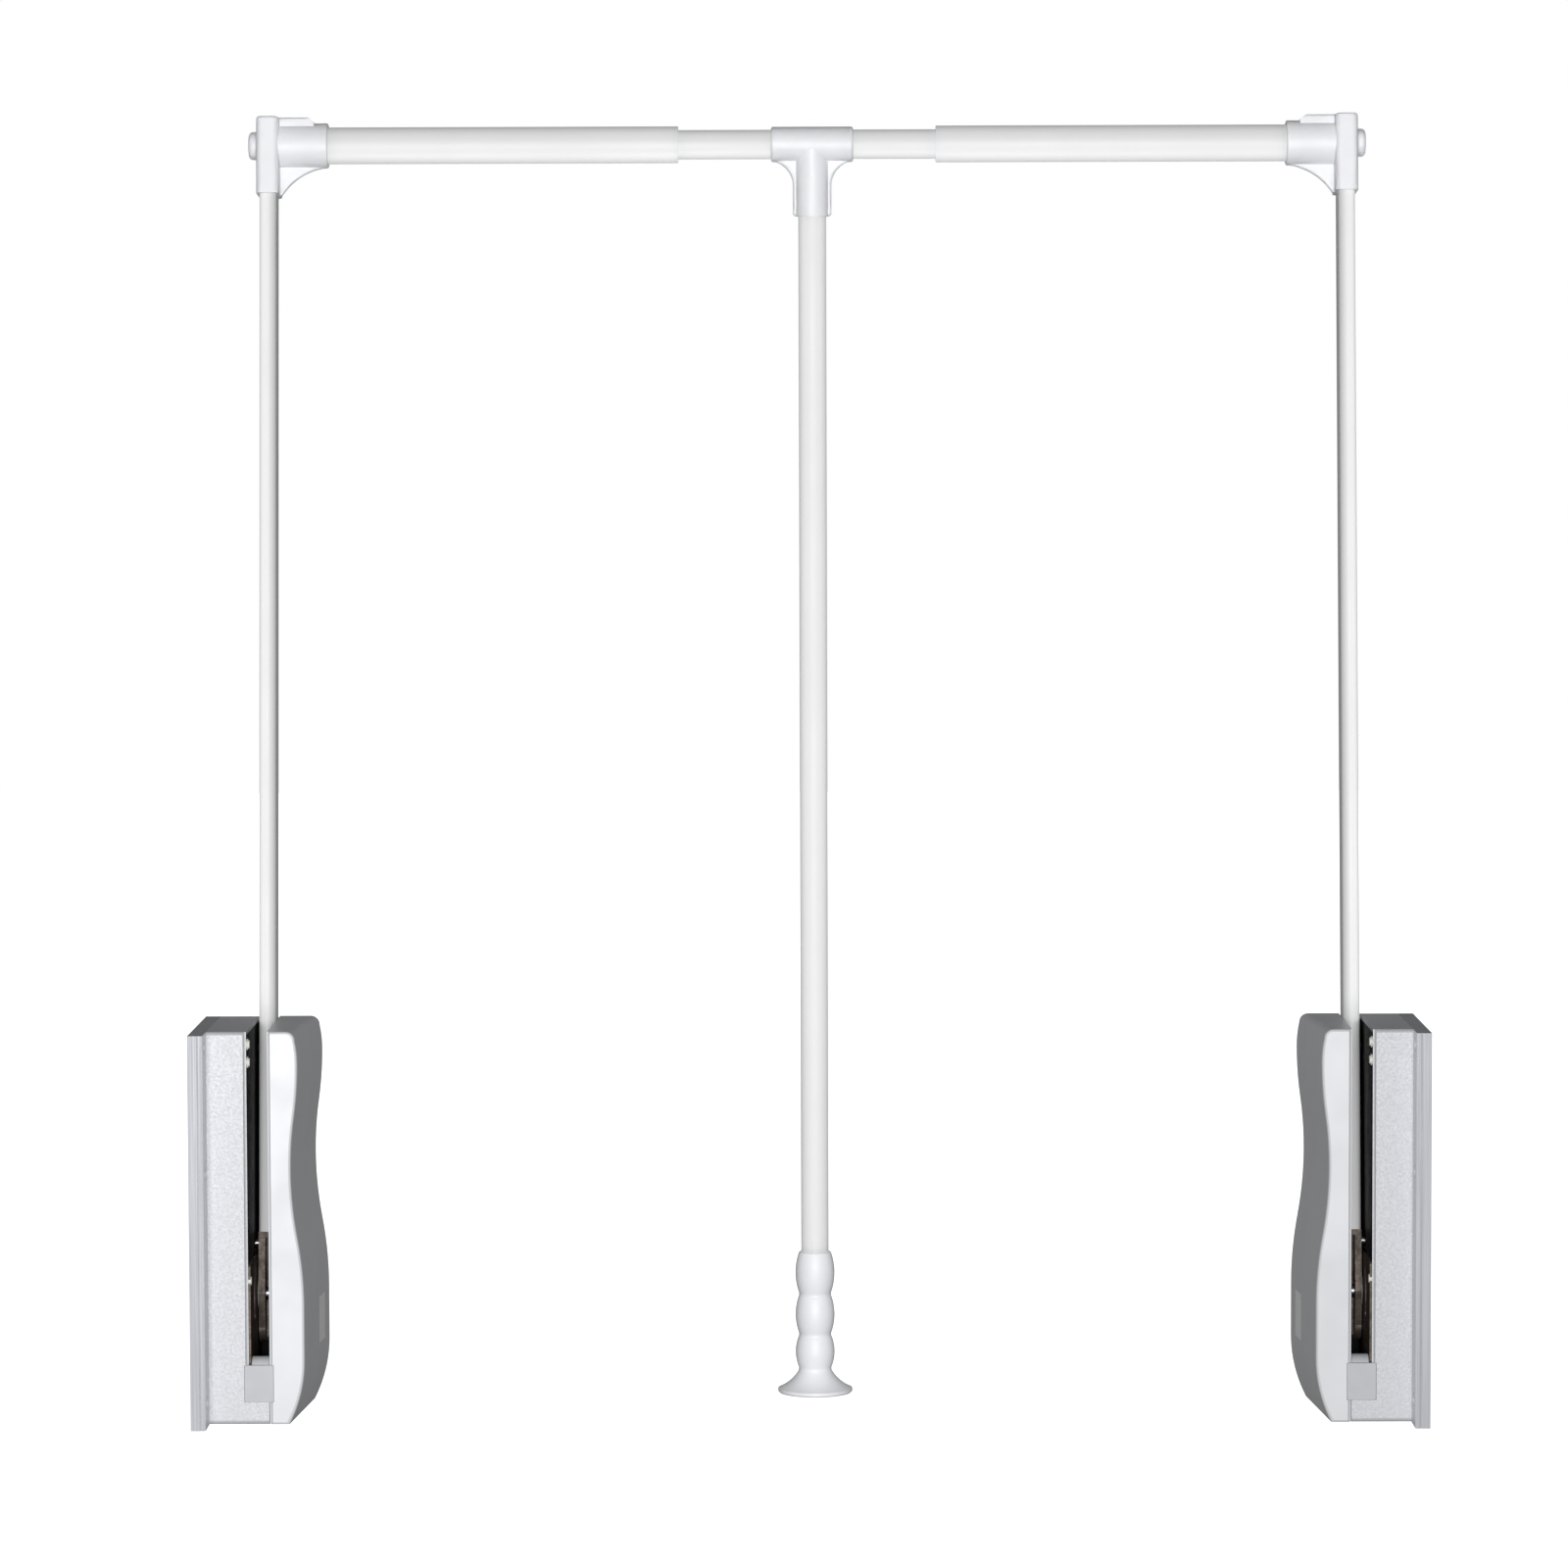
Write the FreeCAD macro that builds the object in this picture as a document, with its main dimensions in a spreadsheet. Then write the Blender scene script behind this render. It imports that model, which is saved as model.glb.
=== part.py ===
import FreeCAD, Part

# Pull-down closet rod: two mirrored wall housings, swinging arms, a telescopic rail and a pull pole.
#
# The left side is modelled piece by piece and mirrored. Its pieces are drawn in four frames:
#   housing  X from the cabinet wall, Y from the casing's front, Z from the casing's bottom
#   arm      origin on the pivot axis in the middle of the arm, Z along the arm, which leans back
#   corner   origin where the middle of the arm meets the rail's axis, Z along the arm
#   rail     origin on the rail's axis in the middle of the T, Z upright
# All are then seated in one frame, whose origin is the centre of the left wall screws on the wall face.
import math
import os
import re

import Sketcher
from FreeCAD import Vector

# Driving dimensions: millimetres, and degrees for lean and swing.
SIZES = {
    # the whole
    "frame_width": 824,
    "arm_length": 782,
    "lean": 5.7,
    "swing": 114,
    "fit_gap": 0.3,
    "running_gap": 0.05,
    "overrun": 1,
    "small_chamfer": 1,
    "head_thickness": 2,
    # housing
    "house_height": 264,
    "house_depth": 103,
    "moulding": 2.5,
    "edge_round": 3,
    # wall plate and its screws
    "plate_thickness": 10,
    "plate_setout": 25,
    "plate_web": 3,
    "plate_rim": 5,
    "line_place": 6.2,
    "line_width": 1,
    "line_depth": 0.8,
    "screw_setback": 12.5,
    "screw_low": 17,
    "screw_middle": 170,
    "screw_high": 255,
    "wall_hole": 5,
    "wall_countersink": 10,
    # casing and chassis
    "casing_width": 26.5,
    "chassis_gauge": 2,
    "post_diameter": 10,
    "post_tenon": 6,
    "post_front": 20,
    "post_rear": 88,
    "post_low": 20,
    "post_high": 244,
    "post_boss": 15,
    "lip_round": 2,
    # guide plate in the slot
    "guide_gauge": 1.5,
    "guide_low": 38,
    "guide_high": 108,
    "guide_round": 3,
    "guide_spigot": 4,
    "guide_peening": 0.8,
    "spigot_back": 18,
    "spigot_low": 50,
    "spigot_high": 98,
    # inner cover: distances from the slot on its front edge, and the heights they lie at
    "cover_crown": 18.4,
    "crown_round": 6,
    "cover_shoulder": 20.1,
    "cover_waist": 15.1,
    "cover_belly": 23.5,
    "cover_foot": 13,
    "cover_flare": 8.5,
    "cover_edge": 1.5,
    "shoulder_height": 242,
    "waist_height": 172,
    "belly_height": 79,
    "belly_low": 43,
    "inset_front": 62,
    "inset_depth": 22,
    "inset_low": 45,
    "inset_height": 32,
    "inset_thickness": 1.2,
    "cover_screw": 3.5,
    "cover_screw_head": 7,
    "cover_screw_length": 8,
    "cover_boss": 8,
    "pilot_depth": 10,
    "boss_rear": 84,
    "boss_front": 20,
    "boss_low": 56,
    # arm, lever and pivot
    "arm_depth": 30,
    "arm_thickness": 11.4,
    "tube_wall": 1.5,
    "pivot_height": 79,
    "axle_diameter": 10,
    "axle_groove": 8.2,
    "axle_end": 1.5,
    "clip_diameter": 16,
    "clip_thickness": 1,
    "bush_diameter": 14,
    "bush_flange": 19,
    "bush_rim": 1.5,
    "crank_radius": 34,
    "crank_pin": 6,
    "crank_head": 8,
    "lever_top": 42,
    "lever_shoulder": 26,
    "lever_waist": 30,
    "lever_tail": 33,
    "tail_width": 20,
    "lever_groove": 2.4,
    "groove_stop": 4,
    "tongue_depth": 18,
    "tongue_length": 54,
    "rivet_diameter": 5,
    "rivet_low": 56,
    "rivet_high": 84,
    # glides and rest pad
    "glide_height": 2,
    "glide_diameter": 7.6,
    "glide_tip": 5.6,
    "glide_stem": 4,
    "glide_snap": 6,
    "glide_step": 1,
    "glide_front": 7,
    "glide_high": 255,
    "glide_second": 243,
    "glide_low": 96,
    "pad_width": 19.5,
    "pad_low": 15,
    "pad_high": 40,
    "pad_head": 1.6,
    "pad_proud": 0.4,
    "pad_round": 9,
    "pad_edge": 1.2,
    # spring and damper
    "spring_diameter": 18,
    "spring_wire": 3,
    "spring_rings": 14,
    "spring_inset": 11,
    "anchor_height": 238,
    "anchor_shoulder": 8,
    "anchor_head": 10,
    "loop_length": 20,
    "damper_diameter": 12,
    "damper_reach": 7,
    "damper_low": 134,
    "damper_length": 66,
    "damper_cap": 5,
    "plunger_diameter": 5,
    "plunger_dome": 1.5,
    "plunger_spare": 2.5,
    "saddle_wall": 1.5,
    "saddle_width": 8,
    "saddle_inset": 10,
    # corner connector
    "connector_wall": 2,
    "connector_drop": 34,
    "connector_rise": 18.5,
    "rail_sleeve": 30.6,
    "sleeve_reach": 40.5,
    "sleeve_round": 4,
    "crown_length": 27,
    "crown_slope": 4,
    "crown_depth": 18,
    "crown_edge": 2,
    "web_thickness": 5,
    "web_edge": 1.5,
    "web_radius": 42,
    "web_foot": 1.5,
    "knob_diameter": 19,
    "knob_height": 6,
    "knob_round": 3,
    "bolt_diameter": 8,
    # rail
    "outer_tube": 25,
    "inner_tube": 20,
    "rail_wall": 1.2,
    "tube_gap": 88,
    "engagement": 200,
    "bush_length": 20,
    "bush_collar": 2,
    "groove_depth": 1.2,
    "groove_width": 4.4,
    "guide_head": 6,
    "guide_plug": 12,
    # T connector, pole and grip
    "tee_offset": 3.5,
    "tee_half": 28,
    "tee_diameter": 24,
    "tee_edge": 1.5,
    "socket_diameter": 23,
    "socket_drop": 49,
    "socket_roof": 14.5,
    "rib_reach": 13.2,
    "rib_thickness": 7,
    "rib_edge": 2,
    "rib_chamfer": 1.5,
    "gusset_reach": 25,
    "gusset_drop": 27,
    "gusset_radius": 17,
    "swivel_pin": 4,
    "swivel_head": 7,
    "pole_tube": 19,
    "pole_drop": 832,
    "pole_screw": 3.5,
    "screw_bite": 3,
    "screw_head": 7,
    "grip_drop": 860,
    "grip_length": 98,
    "grip_bulge": 27,
    "grip_neck": 21.6,
    "grip_mouth": 22,
    "grip_crown": 43,
    "grip_wall": 3,
    "bulge_low": 24,
    "bulge_middle": 28,
    "neck_round": 4,
    "foot_height": 16.4,
    "foot_diameter": 51.4,
    "foot_rim": 3,
    "cap_diameter": 40,
    "cap_thickness": 2.5,
}

# Places that follow from the driving dimensions.
PLACES = {
    "screw_centre": "(screw_low + screw_high) / 2",
    # across the housing, from the wall
    "slot_near": "plate_thickness + casing_width",
    "arm_near": "slot_near + glide_height + fit_gap",
    "arm_mid": "arm_near + arm_thickness / 2",
    "slot_far": "arm_near + arm_thickness + fit_gap",
    "slot_mid": "(slot_near + slot_far) / 2",
    "slot_fill": "slot_far - slot_near - 2 * fit_gap",
    "chassis_near": "slot_near - chassis_gauge",
    "chassis_far": "slot_far + chassis_gauge",
    "chassis_span": "chassis_far - chassis_near",
    "spring_mid": "chassis_near - spring_inset",
    "damper_mid": "chassis_far + damper_reach",
    # along its depth and height
    "chassis_front": "moulding + 2 * fit_gap",
    "chassis_low": "moulding + 2 * fit_gap",
    "chassis_high": "house_height - moulding - 2 * fit_gap",
    "chassis_rear": "house_depth - moulding - fit_gap",
    "web_face": "chassis_rear - chassis_gauge",
    "arm_back": "arm_depth / 2 / cos(lean) + (chassis_high - pivot_height) * tan(lean)",
    "pivot_setback": "web_face - fit_gap - arm_back",
    "pin_setback": "pivot_setback + crank_radius * sin(lean)",
    "pin_height": "pivot_height + crank_radius * cos(lean)",
    "damper_setback": "pin_setback + crank_pin / 2",
    "rail_setback": "pivot_setback + arm_length * sin(lean)",
    "rail_height": "pivot_height + arm_length * cos(lean)",
    # the middle of the cover's rounded front edge, which is drawn as two flats
    "edge_step": "cover_edge * (1 - cos(45))",
    # the rest pad's dome, which the lowered arm stops on
    "droop": "swing - lean - 90",
    "pad_back": "pad_head + 2 * pad_round",
    "pad_reach": "arm_depth / 2 + pad_round + fit_gap + sin(droop) * (pivot_setback - pad_head - pad_round)",
    "pad_crest": "pivot_height - pad_reach / cos(droop)",
    # on the arm
    "lever_face": "arm_thickness / 2",
    "clip_room": "clip_thickness + 2 * running_gap",
    "near_clip": "chassis_near - arm_mid - fit_gap - clip_room",
    "far_clip": "chassis_far + bush_rim + fit_gap - arm_mid",
    "tube_top": "knob_diameter / 2",
    "sleeve_half": "arm_thickness / 2 + connector_wall",
    "socket_near": "sleeve_half + moulding",
    "tube_end": "frame_width / 2 - arm_mid - tube_gap - bush_collar",
    # on the rail and the pole
    "inner_half": "tube_gap + engagement",
    "screw_drop": "(socket_roof + socket_drop) / 2",
}

FRAMES = {
    "housing": ("0", "screw_setback", "-screw_centre", "0"),
    "arm": ("arm_mid", "screw_setback + pivot_setback", "pivot_height - screw_centre", "-lean"),
    "corner": ("arm_mid", "screw_setback + rail_setback", "rail_height - screw_centre", "-lean"),
    "rail": ("frame_width / 2 + tee_offset", "screw_setback + rail_setback", "rail_height - screw_centre", "0"),
}

# Where posts, glides, spigots and the cover's bosses lie (setback, height), and the rivets along the arm.
POSTS = [(back, up) for back in ("post_front", "post_rear") for up in ("post_low", "post_high")]
GLIDES = [("glide_front", up) for up in ("glide_high", "glide_second", "glide_low")]
SPIGOTS = [("spigot_back", up) for up in ("spigot_low", "spigot_high")]
BOSSES = [("boss_rear", "waist_height", "cover_waist"), ("boss_front", "boss_low", "cover_belly")]
RIVETS = ["rivet_low", "rivet_high"]

doc = FreeCAD.newDocument("PullDownClosetRod")


# ---------------------------------------------------------------- sizes and expressions
def fill_sheet():
    """Write the driving dimensions into the spreadsheet that every feature is bound to."""
    sheet = doc.addObject("Spreadsheet::Sheet", "Params")
    for row, (name, size) in enumerate(SIZES.items(), 1):
        sheet.set(f"A{row}", name.replace("_", " "))
        sheet.set(f"B{row}", str(size))
        sheet.setAlias(f"B{row}", name)
    doc.recompute()


def formula(text):
    """Write a formula in the sheet's terms."""
    def swap(match):
        name = match.group()
        if name in PLACES:
            return "(" + formula(PLACES[name]) + ")"
        return "Params." + name if name in SIZES else name
    return re.sub(r"[A-Za-z_]+", swap, text)


def value(text):
    """The number that a formula comes to."""
    return float(doc.Params.evalExpression(formula(text)))


def bind(item, prop, text):
    """Bind one property to a formula."""
    item.setExpression(prop, formula(text))


def place(item, x, y, z, turn="0"):
    """Bind a placement: a position, and a turn about X."""
    bind(item, "Placement", f"placement(vector({x}; {y}; {z}); rotation(vector(1; 0; 0); {turn}))")


def seat(item, label, frame, shift=("0", "0", "0")):
    """Name a finished sub-part and seat it in its frame."""
    x, y, z, turn = FRAMES[frame]
    across, back, up = shift
    place(item, f"{x} + ({across})", f"{y} + ({back})", f"{z} + ({up})", turn)
    item.Label = label
    return item


# ---------------------------------------------------------------- sketches
def sketch_on(body, plane, at="0", tilt="0"):
    """A sketch parallel to an origin plane of its body, at the coordinate `at` along the third axis.

    The tilt turns it about its own upright axis.
    """
    sketch = body.newObject("Sketcher::SketchObject", "Sketch")
    support = next(item for item in body.Origin.OriginFeatures if item.Role == plane + "_Plane")
    sketch.AttachmentSupport = [(support, "")]
    sketch.MapMode = "FlatFace"
    out = f"-({at})" if plane == "XZ" else at
    bind(sketch, "AttachmentOffset", f"placement(vector(0; 0; {out}); rotation(vector(0; 1; 0); {tilt}))")
    return sketch


def faces_back(sketch):
    """True for a sketch on the XZ plane, whose normal points along -Y."""
    return sketch.AttachmentSupport[0][0].Role == "XZ_Plane"


def measure(sketch, kind, geometry, point, text):
    """Dimension one distance of a point from the sketch's origin."""
    number = sketch.addConstraint(Sketcher.Constraint(kind, -1, 1, geometry, point, value(text)))
    bind(sketch, f"Constraints[{number}]", text)


def pin(sketch, geometry, point, x, y):
    """Dimension both distances of a point from the sketch's origin."""
    measure(sketch, "DistanceX", geometry, point, x)
    measure(sketch, "DistanceY", geometry, point, y)


def size_radius(sketch, geometry, text):
    """Dimension the radius of a circle or arc."""
    number = sketch.addConstraint(Sketcher.Constraint("Radius", geometry, value(text)))
    bind(sketch, f"Constraints[{number}]", text)


def circle(sketch, x, y, diameter):
    """A circle with its centre and size bound."""
    centre = Vector(value(x), value(y), 0)
    geometry = sketch.addGeometry(Part.Circle(centre, Vector(0, 0, 1), value(diameter) / 2))
    pin(sketch, geometry, 3, x, y)
    size_radius(sketch, geometry, f"({diameter}) / 2")


def add_arc(sketch, start, end, radius, side):
    """An arc between two points; gives its number and its positions at the start and the end."""
    chord = end - start
    left = Vector(-chord.y, chord.x, 0).normalize()
    height = math.sqrt(max(radius ** 2 - chord.Length ** 2 / 4, 0))
    centre = (start + end) / 2 - left * height * side
    ends = (end, start) if side > 0 else (start, end)
    angles = [math.atan2(spot.y - centre.y, spot.x - centre.x) for spot in ends]
    if angles[1] < angles[0]:
        angles[1] += 2 * math.pi
    base = Part.Circle(centre, Vector(0, 0, 1), radius)
    geometry = sketch.addGeometry(Part.ArcOfCircle(base, *angles))
    return (geometry, 2, 1) if side > 0 else (geometry, 1, 2)


def outline(sketch, corners):
    """Draw a closed outline with each corner dimensioned from the sketch's origin.

    A corner is (x, y), or (x, y, radius, side) where an arc leads to it. The arc bulges to the left
    of the way there (side 1) or to the right (side -1). A half circle has its centre dimensioned.
    """
    spots = [Vector(value(corner[0]), value(corner[1]), 0) for corner in corners]
    parts = []
    for number, corner in enumerate(corners):
        start = spots[number - 1]
        end = spots[number]
        if len(corner) == 2:
            parts.append((sketch.addGeometry(Part.LineSegment(start, end)), 1, 2))
            continue
        parts.append(add_arc(sketch, start, end, value(corner[2]), corner[3]))
        chord = end - start
        if 2 * value(corner[2]) > chord.Length + 1e-6:
            size_radius(sketch, parts[-1][0], corner[2])
        else:
            kind, side = ("DistanceY", 1) if abs(chord.x) > abs(chord.y) else ("DistanceX", 0)
            middle = f"(({corners[number - 1][side]}) + ({corner[side]})) / 2"
            measure(sketch, kind, parts[-1][0], 3, middle)
    for number, (geometry, _, last) in enumerate(parts):
        following, first, _ = parts[(number + 1) % len(parts)]
        sketch.addConstraint(Sketcher.Constraint("Coincident", geometry, last, following, first))
        pin(sketch, geometry, last, *corners[number][:2])


def rectangle(sketch, left, low, right, high):
    """A rectangle between two bound corners."""
    outline(sketch, [(left, low), (right, low), (right, high), (left, high)])


def flat_oval(sketch, depth, thickness):
    """A flat oval round the origin, long in Y and with half-round ends."""
    radius = f"({thickness}) / 2"
    reach = f"({depth}) / 2 - {radius}"
    r = value(radius)
    a = value(reach)
    up = Vector(0, 0, 1)
    rear = sketch.addGeometry(Part.ArcOfCircle(Part.Circle(Vector(0, a, 0), up, r), 0, math.pi))
    front = sketch.addGeometry(Part.ArcOfCircle(Part.Circle(Vector(0, -a, 0), up, r), math.pi, 2 * math.pi))
    near = sketch.addGeometry(Part.LineSegment(Vector(-r, a, 0), Vector(-r, -a, 0)))
    far = sketch.addGeometry(Part.LineSegment(Vector(r, -a, 0), Vector(r, a, 0)))
    for one, other in ((rear, near), (near, front), (front, far), (far, rear)):
        sketch.addConstraint(Sketcher.Constraint("Tangent", one, 2, other, 1))
    pin(sketch, rear, 3, "0", reach)
    pin(sketch, front, 3, "0", f"-({reach})")
    size_radius(sketch, rear, radius)


# ---------------------------------------------------------------- features
def pad(body, sketch, length, backwards=False):
    """Pad a sketch towards the positive axis, or backwards."""
    feature = body.newObject("PartDesign::Pad", "Pad")
    feature.Profile = sketch
    feature.Reversed = faces_back(sketch) != backwards
    bind(feature, "Length", length)
    return feature


def checked_cut(body, feature, before):
    """Recompute a cutting feature and make sure that it took material away."""
    doc.recompute()
    shape = body.Tip.Shape
    if shape.isNull() or not shape.isValid() or not 0 < shape.Volume < before - 1e-6:
        raise RuntimeError(f"{feature.Name} of {body.Label} doesn't cut as it should")


def pocket(body, sketch, length, backwards=False):
    """Cut a sketch towards the positive axis, or backwards."""
    doc.recompute()
    before = body.Tip.Shape.Volume
    feature = body.newObject("PartDesign::Pocket", "Pocket")
    feature.Profile = sketch
    feature.Reversed = faces_back(sketch) == backwards
    bind(feature, "Length", length)
    checked_cut(body, feature, before)


def turn(body, sketch, axis):
    """Revolve a sketch about its own H_Axis or V_Axis."""
    feature = body.newObject("PartDesign::Revolution", "Revolution")
    feature.Profile = sketch
    feature.ReferenceAxis = (sketch, [axis])
    feature.Angle = 360


def at(edge, axis, text):
    """True where an edge lies in the plane across an axis at the formula's value."""
    box = edge.BoundBox
    spot = value(text)
    return all(abs(getattr(box, axis + side) - spot) < 1e-4 for side in ("Min", "Max"))


def is_ring(edge, diameter):
    """True for a level circle of the formula's diameter."""
    box = edge.BoundBox
    return box.ZLength < 1e-4 and abs(box.XLength - value(diameter)) < 1e-3


def dress(body, kind, size, wanted):
    """Fillet or chamfer the edges of the body's last feature that pass the test."""
    doc.recompute()
    base = body.Tip
    names = [f"Edge{number}" for number, edge in enumerate(base.Shape.Edges, 1) if wanted(edge)]
    if not names:
        raise RuntimeError(f"no edge to {kind} on {body.Label}")
    feature = body.newObject("PartDesign::" + kind, kind)
    feature.Base = (base, names)
    bind(feature, "Radius" if kind == "Fillet" else "Size", size)


def new_body(label, frame, shift=("0", "0", "0")):
    """A body seated in its frame."""
    return seat(doc.addObject("PartDesign::Body", label), label, frame, shift)


def rod(start, end, diameter, back="0", up="0"):
    """A plain cylinder along X."""
    item = doc.addObject("Part::Cylinder", "Rod")
    bind(item, "Radius", f"({diameter}) / 2")
    bind(item, "Height", f"({end}) - ({start})")
    bind(item, "Placement", f"placement(vector({start}; {back}; {up}); rotation(vector(0; 1; 0); 90))")
    return item


def turned(steps, back="0", up="0"):
    """A stepped pin along X, from overlapping (start, end, diameter) steps."""
    item = doc.addObject("Part::MultiFuse", "Turned")
    item.Shapes = [rod(*step, back, up) for step in steps]
    return item


def cut(base, tool):
    """One solid less another."""
    item = doc.addObject("Part::Cut", "Cut")
    item.Base = base
    item.Tool = tool
    return item


def group(label, frame, pieces):
    """Identical pieces as separate solids of one sub-part."""
    item = doc.addObject("Part::Compound", label)
    item.Links = pieces
    return seat(item, label, frame)


# ---------------------------------------------------------------- housing
def wall_plate():
    """Base on the cabinet wall: a thick front flange with three screw holes, and a shallow tray behind it."""
    body = new_body("left_wall_plate", "housing")
    block = sketch_on(body, "YZ")
    rectangle(block, "-plate_setout", "0", "house_depth", "house_height")
    pad(body, block, "plate_thickness")
    dress(body, "Fillet", "edge_round",
          lambda edge: at(edge, "Y", "house_depth") and edge.BoundBox.XLength > value("plate_thickness / 2"))
    tray = sketch_on(body, "YZ", "plate_web")
    rectangle(tray, "plate_rim", "plate_rim", "house_depth - plate_rim", "house_height - plate_rim")
    pocket(body, tray, "plate_thickness")
    shadow_line = sketch_on(body, "XY", "-overrun")
    rectangle(shadow_line, "line_place", "-plate_setout - overrun",
              "line_place + line_width", "-plate_setout + line_depth")
    pocket(body, shadow_line, "house_height + 2 * overrun")
    dress(body, "Chamfer", "small_chamfer",
          lambda edge: at(edge, "Y", "-plate_setout") and at(edge, "X", "plate_thickness"))
    sockets = sketch_on(body, "YZ", "-overrun")
    for back, up in POSTS:
        circle(sockets, back, up, "post_tenon + 2 * running_gap")
    pocket(body, sockets, "plate_web + 2 * overrun")
    holes = sketch_on(body, "YZ", "plate_thickness")
    for up in ("screw_low", "screw_middle", "screw_high"):
        circle(holes, "-screw_setback", up, "wall_hole")
    doc.recompute()
    before = body.Tip.Shape.Volume
    hole = body.newObject("PartDesign::Hole", "ScrewHoles")
    hole.Profile = holes
    hole.DepthType = "ThroughAll"
    hole.HoleCutType = "Countersink"
    hole.HoleCutCountersinkAngle = 90
    bind(hole, "Diameter", "wall_hole")
    bind(hole, "HoleCutDiameter", "wall_countersink")
    checked_cut(body, hole, before)
    return body


def round_lip(body, edge, side):
    """Round the front edge beside the slot, whose moulding lies to its right (side 1) or left (-1)."""
    corner = sketch_on(body, "XY", "-overrun")
    clear = f"{edge} - {side} * overrun"
    outline(corner, [
        (clear, "-overrun"), (f"{edge} + {side} * lip_round", "-overrun"),
        (f"{edge} + {side} * lip_round", "0"), (edge, "lip_round", "lip_round", -side), (clear, "lip_round"),
    ])
    pocket(body, corner, "house_height + 2 * overrun")


def casing():
    """Moulded tray beside the wall plate, with bosses round the posts and a bridge under the slot."""
    body = new_body("left_casing", "housing")
    block = sketch_on(body, "YZ", "plate_thickness")
    rectangle(block, "0", "0", "house_depth", "house_height")
    pad(body, block, "casing_width")
    dress(body, "Fillet", "edge_round", lambda edge: edge.BoundBox.XLength > value("casing_width / 2"))
    round_lip(body, "slot_near", -1)
    hollow = sketch_on(body, "YZ", "plate_thickness + moulding")
    rectangle(hollow, "moulding", "moulding", "house_depth - moulding", "house_height - moulding")
    pocket(body, hollow, "casing_width")
    bosses = sketch_on(body, "YZ", "plate_thickness + moulding / 2")
    bores = sketch_on(body, "YZ", "plate_thickness - overrun")
    for back, up in POSTS:
        circle(bosses, back, up, "post_boss")
        circle(bores, back, up, "post_diameter + 2 * fit_gap")
    pad(body, bosses, "chassis_near - plate_thickness - moulding / 2")
    pocket(body, bores, "casing_width")
    bridge = sketch_on(body, "YZ", "slot_near - moulding")
    outline(bridge, [
        ("0", "edge_round"), ("edge_round", "0", "edge_round", -1), ("web_face - fit_gap", "0"),
        ("web_face - fit_gap", "moulding"), ("moulding", "moulding"), ("moulding", "pad_low"),
        ("0", "pad_low"),
    ])
    pad(body, bridge, "slot_far - fit_gap - slot_near + moulding")
    pad_seat = sketch_on(body, "YZ", "slot_near + fit_gap")
    outline(pad_seat, [
        ("moulding / 2", "pad_low - moulding"), ("pad_back", "pad_low - moulding"),
        ("pad_back", "moulding / 2"), ("pad_back + moulding", "moulding / 2"),
        ("pad_back + moulding", "pad_crest"), ("pad_back", "pad_crest"),
        ("pad_back", "pad_low"), ("moulding / 2", "pad_low"),
    ])
    pad(body, pad_seat, "slot_fill")
    recess = sketch_on(body, "XZ", "-overrun")
    rectangle(recess, "slot_mid - pad_width / 2 - fit_gap / 2", "pad_low",
              "slot_near + overrun", "pad_high + fit_gap")
    pocket(body, recess, "pad_head + overrun")
    return body


def wave(sketch, flare, skin, low, high):
    """The cover's outline seen from the front: crown, shoulder, waist, belly and rounded foot.

    The curve between two extremes is two equal tangent arcs that meet half way.
    """
    def reach(size):
        return f"slot_far + {size} + {flare} - {skin}"

    def half_way(one, other):
        return f"slot_far + ({one} + {other}) / 2 + {flare} - {skin}"

    def bend(across, along):
        return f"(({across})^2 + ({along})^2) / (4 * ({across}))"

    def close(across, along):
        return f"({across}^2 + {along}^2) / (2 * {across})"

    upper = bend("cover_shoulder - cover_waist", "shoulder_height - waist_height")
    lower = bend("cover_belly - cover_waist", "waist_height - belly_height")
    corner = f"(crown_round - {skin})"
    crown = close("(cover_shoulder - cover_crown)", f"({high} - {corner} - shoulder_height)")
    foot = close("(cover_belly - cover_foot)", f"(belly_low - {low})")
    outline(sketch, [
        ("slot_far", low),
        (reach("cover_foot"), low),
        (reach("cover_belly"), "belly_low", foot, -1),
        (reach("cover_belly"), "belly_height"),
        (half_way("cover_belly", "cover_waist"), "(belly_height + waist_height) / 2", lower, -1),
        (reach("cover_waist"), "waist_height", lower, 1),
        (half_way("cover_shoulder", "cover_waist"), "(shoulder_height + waist_height) / 2", upper, 1),
        (reach("cover_shoulder"), "shoulder_height", upper, -1),
        (reach("cover_crown"), f"{high} - {corner}", crown, -1),
        (reach(f"cover_crown - {corner}"), high, corner, -1),
        ("slot_far", high),
    ])


def wave_at(body, back, skin, low, high):
    """The cover's outline at a distance behind its front, where the flare has widened it."""
    sketch = sketch_on(body, "XZ", back)
    wave(sketch, f"cover_flare * ({back}) / house_depth", skin, low, high)
    return sketch


def loft(body, kind, first, *others):
    """A ruled loft through sketches."""
    feature = body.newObject("PartDesign::" + kind, kind)
    feature.Profile = first
    feature.Sections = list(others)
    feature.Ruled = True
    return feature


def inset_sketch(body):
    """A sketch on the cover's belly, which the flare tilts about the upright axis."""
    return sketch_on(body, "YZ", "slot_far + cover_belly", "-atan(cover_flare / house_depth)")


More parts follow.
